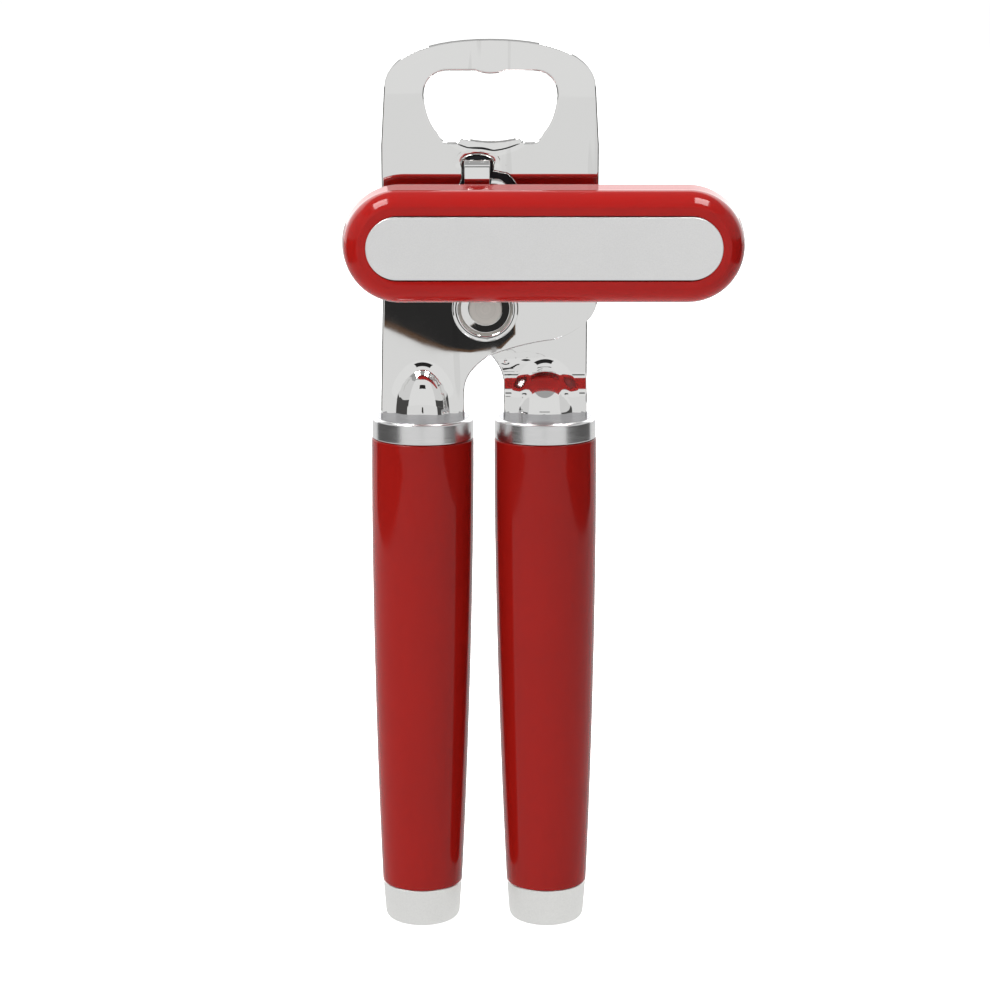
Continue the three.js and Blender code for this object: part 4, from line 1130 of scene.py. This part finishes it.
paleFloor = plainMaterial("pale floor", (0.93, 0.93, 0.93), 0.6)
floorTree = paleFloor.node_tree
floorShader = floorTree.nodes["Principled BSDF"]
floorShader.inputs["Emission Color"].default_value = (1.0, 1.0, 1.0, 1.0)
floorSeen = node(floorTree, "ShaderNodeLightPath").outputs["Is Camera Ray"]
spread(floorTree, floorSeen, 0.25, 0.9, floorShader.inputs["Emission Strength"])
setPiece("floor", [[(-6000, -6000, -0.02), (6000, -6000, -0.02), (6000, 6000, -0.02), (-6000, 6000, -0.02)]],
         paleFloor, ["glossy"])

studio = {"floor": 0.84, "front": 0.82, "side": 0.07, "back": 1.8, "upper": 0.7, "box": 16.0, "rim": 0.10,
          "stand": 0.025, "head": 0.02, "crease": 0.25, "seam": 0.4, "radius": 3800}
white = (1.0, 1.0, 1.0)
warmDark = (1.0, 0.97, 0.96)
card("glossFloor", [(-4000, -4000, -0.5), (4000, -4000, -0.5), (4000, 4000, -0.5), (-4000, 4000, -0.5)],
     (0.93, 0.93, 0.93), studio["floor"])
wall("frontSky", -50, 45, -10, 3700, white, studio["front"])
wall("leftDark", -122, -50, -10, 420, (1.0, 0.98, 0.97), studio["side"])
wall("rightDark", 45, 122, -10, 420, (1.0, 0.98, 0.97), studio["side"])
wall("leftSky", -128, -50, 420, 3000, white, studio["upper"])
wall("rightSky", 45, 128, 420, 3000, white, studio["upper"])
wall("backSky", 122, 238, -10, 3000, white, studio["back"])
# The white sheet ends at the sides and has a crease in front; beyond it the floor is dark.
card("leftFloorDark", [(-430, 269, 0.1), (-430, -426, 0.1), (-600, -426, 0.1), (-3400, -2500, 0.1),
                       (-4000, 0, 0.1), (-4000, 2500, 0.1)], warmDark, studio["side"])
card("rightFloorDark", [(430, 269, 0.1), (430, -426, 0.1), (475, -426, 0.1), (2800, -2520, 0.1),
                        (4000, 0, 0.1), (4000, 2500, 0.1)], warmDark, studio["side"])
card("sheetCrease", [(-600, -428, 0.3), (600, -428, 0.3), (600, -423, 0.3), (-600, -423, 0.3)], warmDark,
     studio["crease"])
card("sheetSeam", [(-13, -1100, 0.3), (-10, -1100, 0.3), (-10, -428, 0.3), (-13, -428, 0.3)], warmDark,
     studio["seam"])
# Dark stand on the floor in front, mirrored low in the plate beside the pivot.
standRim = [(-88, -1026), (-75, -984), (-55, -926), (-41, -903), (-26, -896), (-7, -910), (2, -971),
            (5, -1920), (-116, -1920), (-92, -1130)]
standEdge = [(-84, -1039), (-72, -1004), (-52, -943), (-39, -916), (-26, -904), (-8, -916), (1, -971),
             (4, -1900), (-110, -1900), (-88, -1130)]
card("darkStandRim", [(x, y, 0.2) for x, y in standRim], (1.0, 0.55, 0.3), studio["rim"])
card("darkStand", [(x, y, 0.4) for x, y in standEdge], (1.0, 0.98, 0.98), studio["stand"])
# Two soft boxes overhead give the square lights on the bar's upper corners.
card("upperLeftBox", [(-570, -380, 900), (-290, -380, 1040), (-290, 150, 1060), (-570, 150, 930)], white,
     studio["box"])
card("upperRightBox", [(190, -380, 1060), (460, -380, 960), (460, 150, 980), (190, 150, 1080)], white,
     studio["box"])
# A dark lamp head high in front, seen small in the rounded metal.
card("darkLampHead", [(-750, -3000, 1130), (650, -3000, 1130), (650, -3000, 1650), (-750, -3000, 1650)],
     (1.0, 0.98, 0.98), studio["head"])


def lamp(name, spot, aim, size, power):
    light = bpy.data.lights.new(name, "AREA")
    light.shape = "RECTANGLE"
    light.size = size[0]
    light.size_y = size[1]
    light.energy = power
    made = bpy.data.objects.new(name, light)
    bpy.context.collection.objects.link(made)
    made.location = Vector(spot)
    made.rotation_euler = (Vector(aim) - Vector(spot)).to_track_quat("-Z", "Y").to_euler()
    made.visible_camera = False
    made.visible_glossy = False


lamp("overhead", (-0.2, -0.3, 1.6), (0.0, 0.0, 0.0), (1.6, 1.6), 58.0)
lamp("leftKey", (-1.2, -1.3, 0.9), (0.0, 0.0, 0.1), (1.0, 1.0), 9.0)

# A black flag on the right, met only by scattered light, darkens that side of the red.
setPiece("rightFlag", [[(330, -350, 0), (330, 350, 0), (330, 350, 360), (330, -350, 360)]], darkCore,
         ["camera", "glossy", "shadow"])

world = bpy.data.worlds.new("studio")
bpy.context.scene.world = world
world.use_nodes = True
worldTree = world.node_tree
sky = worldTree.nodes["Background"]
sky.inputs["Color"].default_value = (1.0, 1.0, 1.0, 1.0)
seen = node(worldTree, "ShaderNodeLightPath").outputs["Is Camera Ray"]
spread(worldTree, seen, 0.38, 1.02, sky.inputs["Strength"])


# Camera: aimed at the upper handles from a little above, with no shift.
view = {"reach": 600.0, "down": 12.0, "aim": 105.32, "lens": 91.92, "aside": -10.96, "back": 0.06}
camera = bpy.data.objects.new("frontCamera", bpy.data.cameras.new("frontCamera"))
bpy.context.collection.objects.link(camera)
camera.data.lens = view["lens"]
camera.data.sensor_width = 36.0
tilt = math.radians(view["down"])
camera.location = Vector((view["aside"], handleY - view["reach"] * math.cos(tilt) - view["back"],
                          view["aim"] + view["reach"] * math.sin(tilt))) * mm
camera.rotation_euler = (math.radians(90) - tilt, 0.0, 0.0)
bpy.context.scene.camera = camera
bpy.context.scene.view_settings.view_transform = "Standard"
print("studio and camera made")
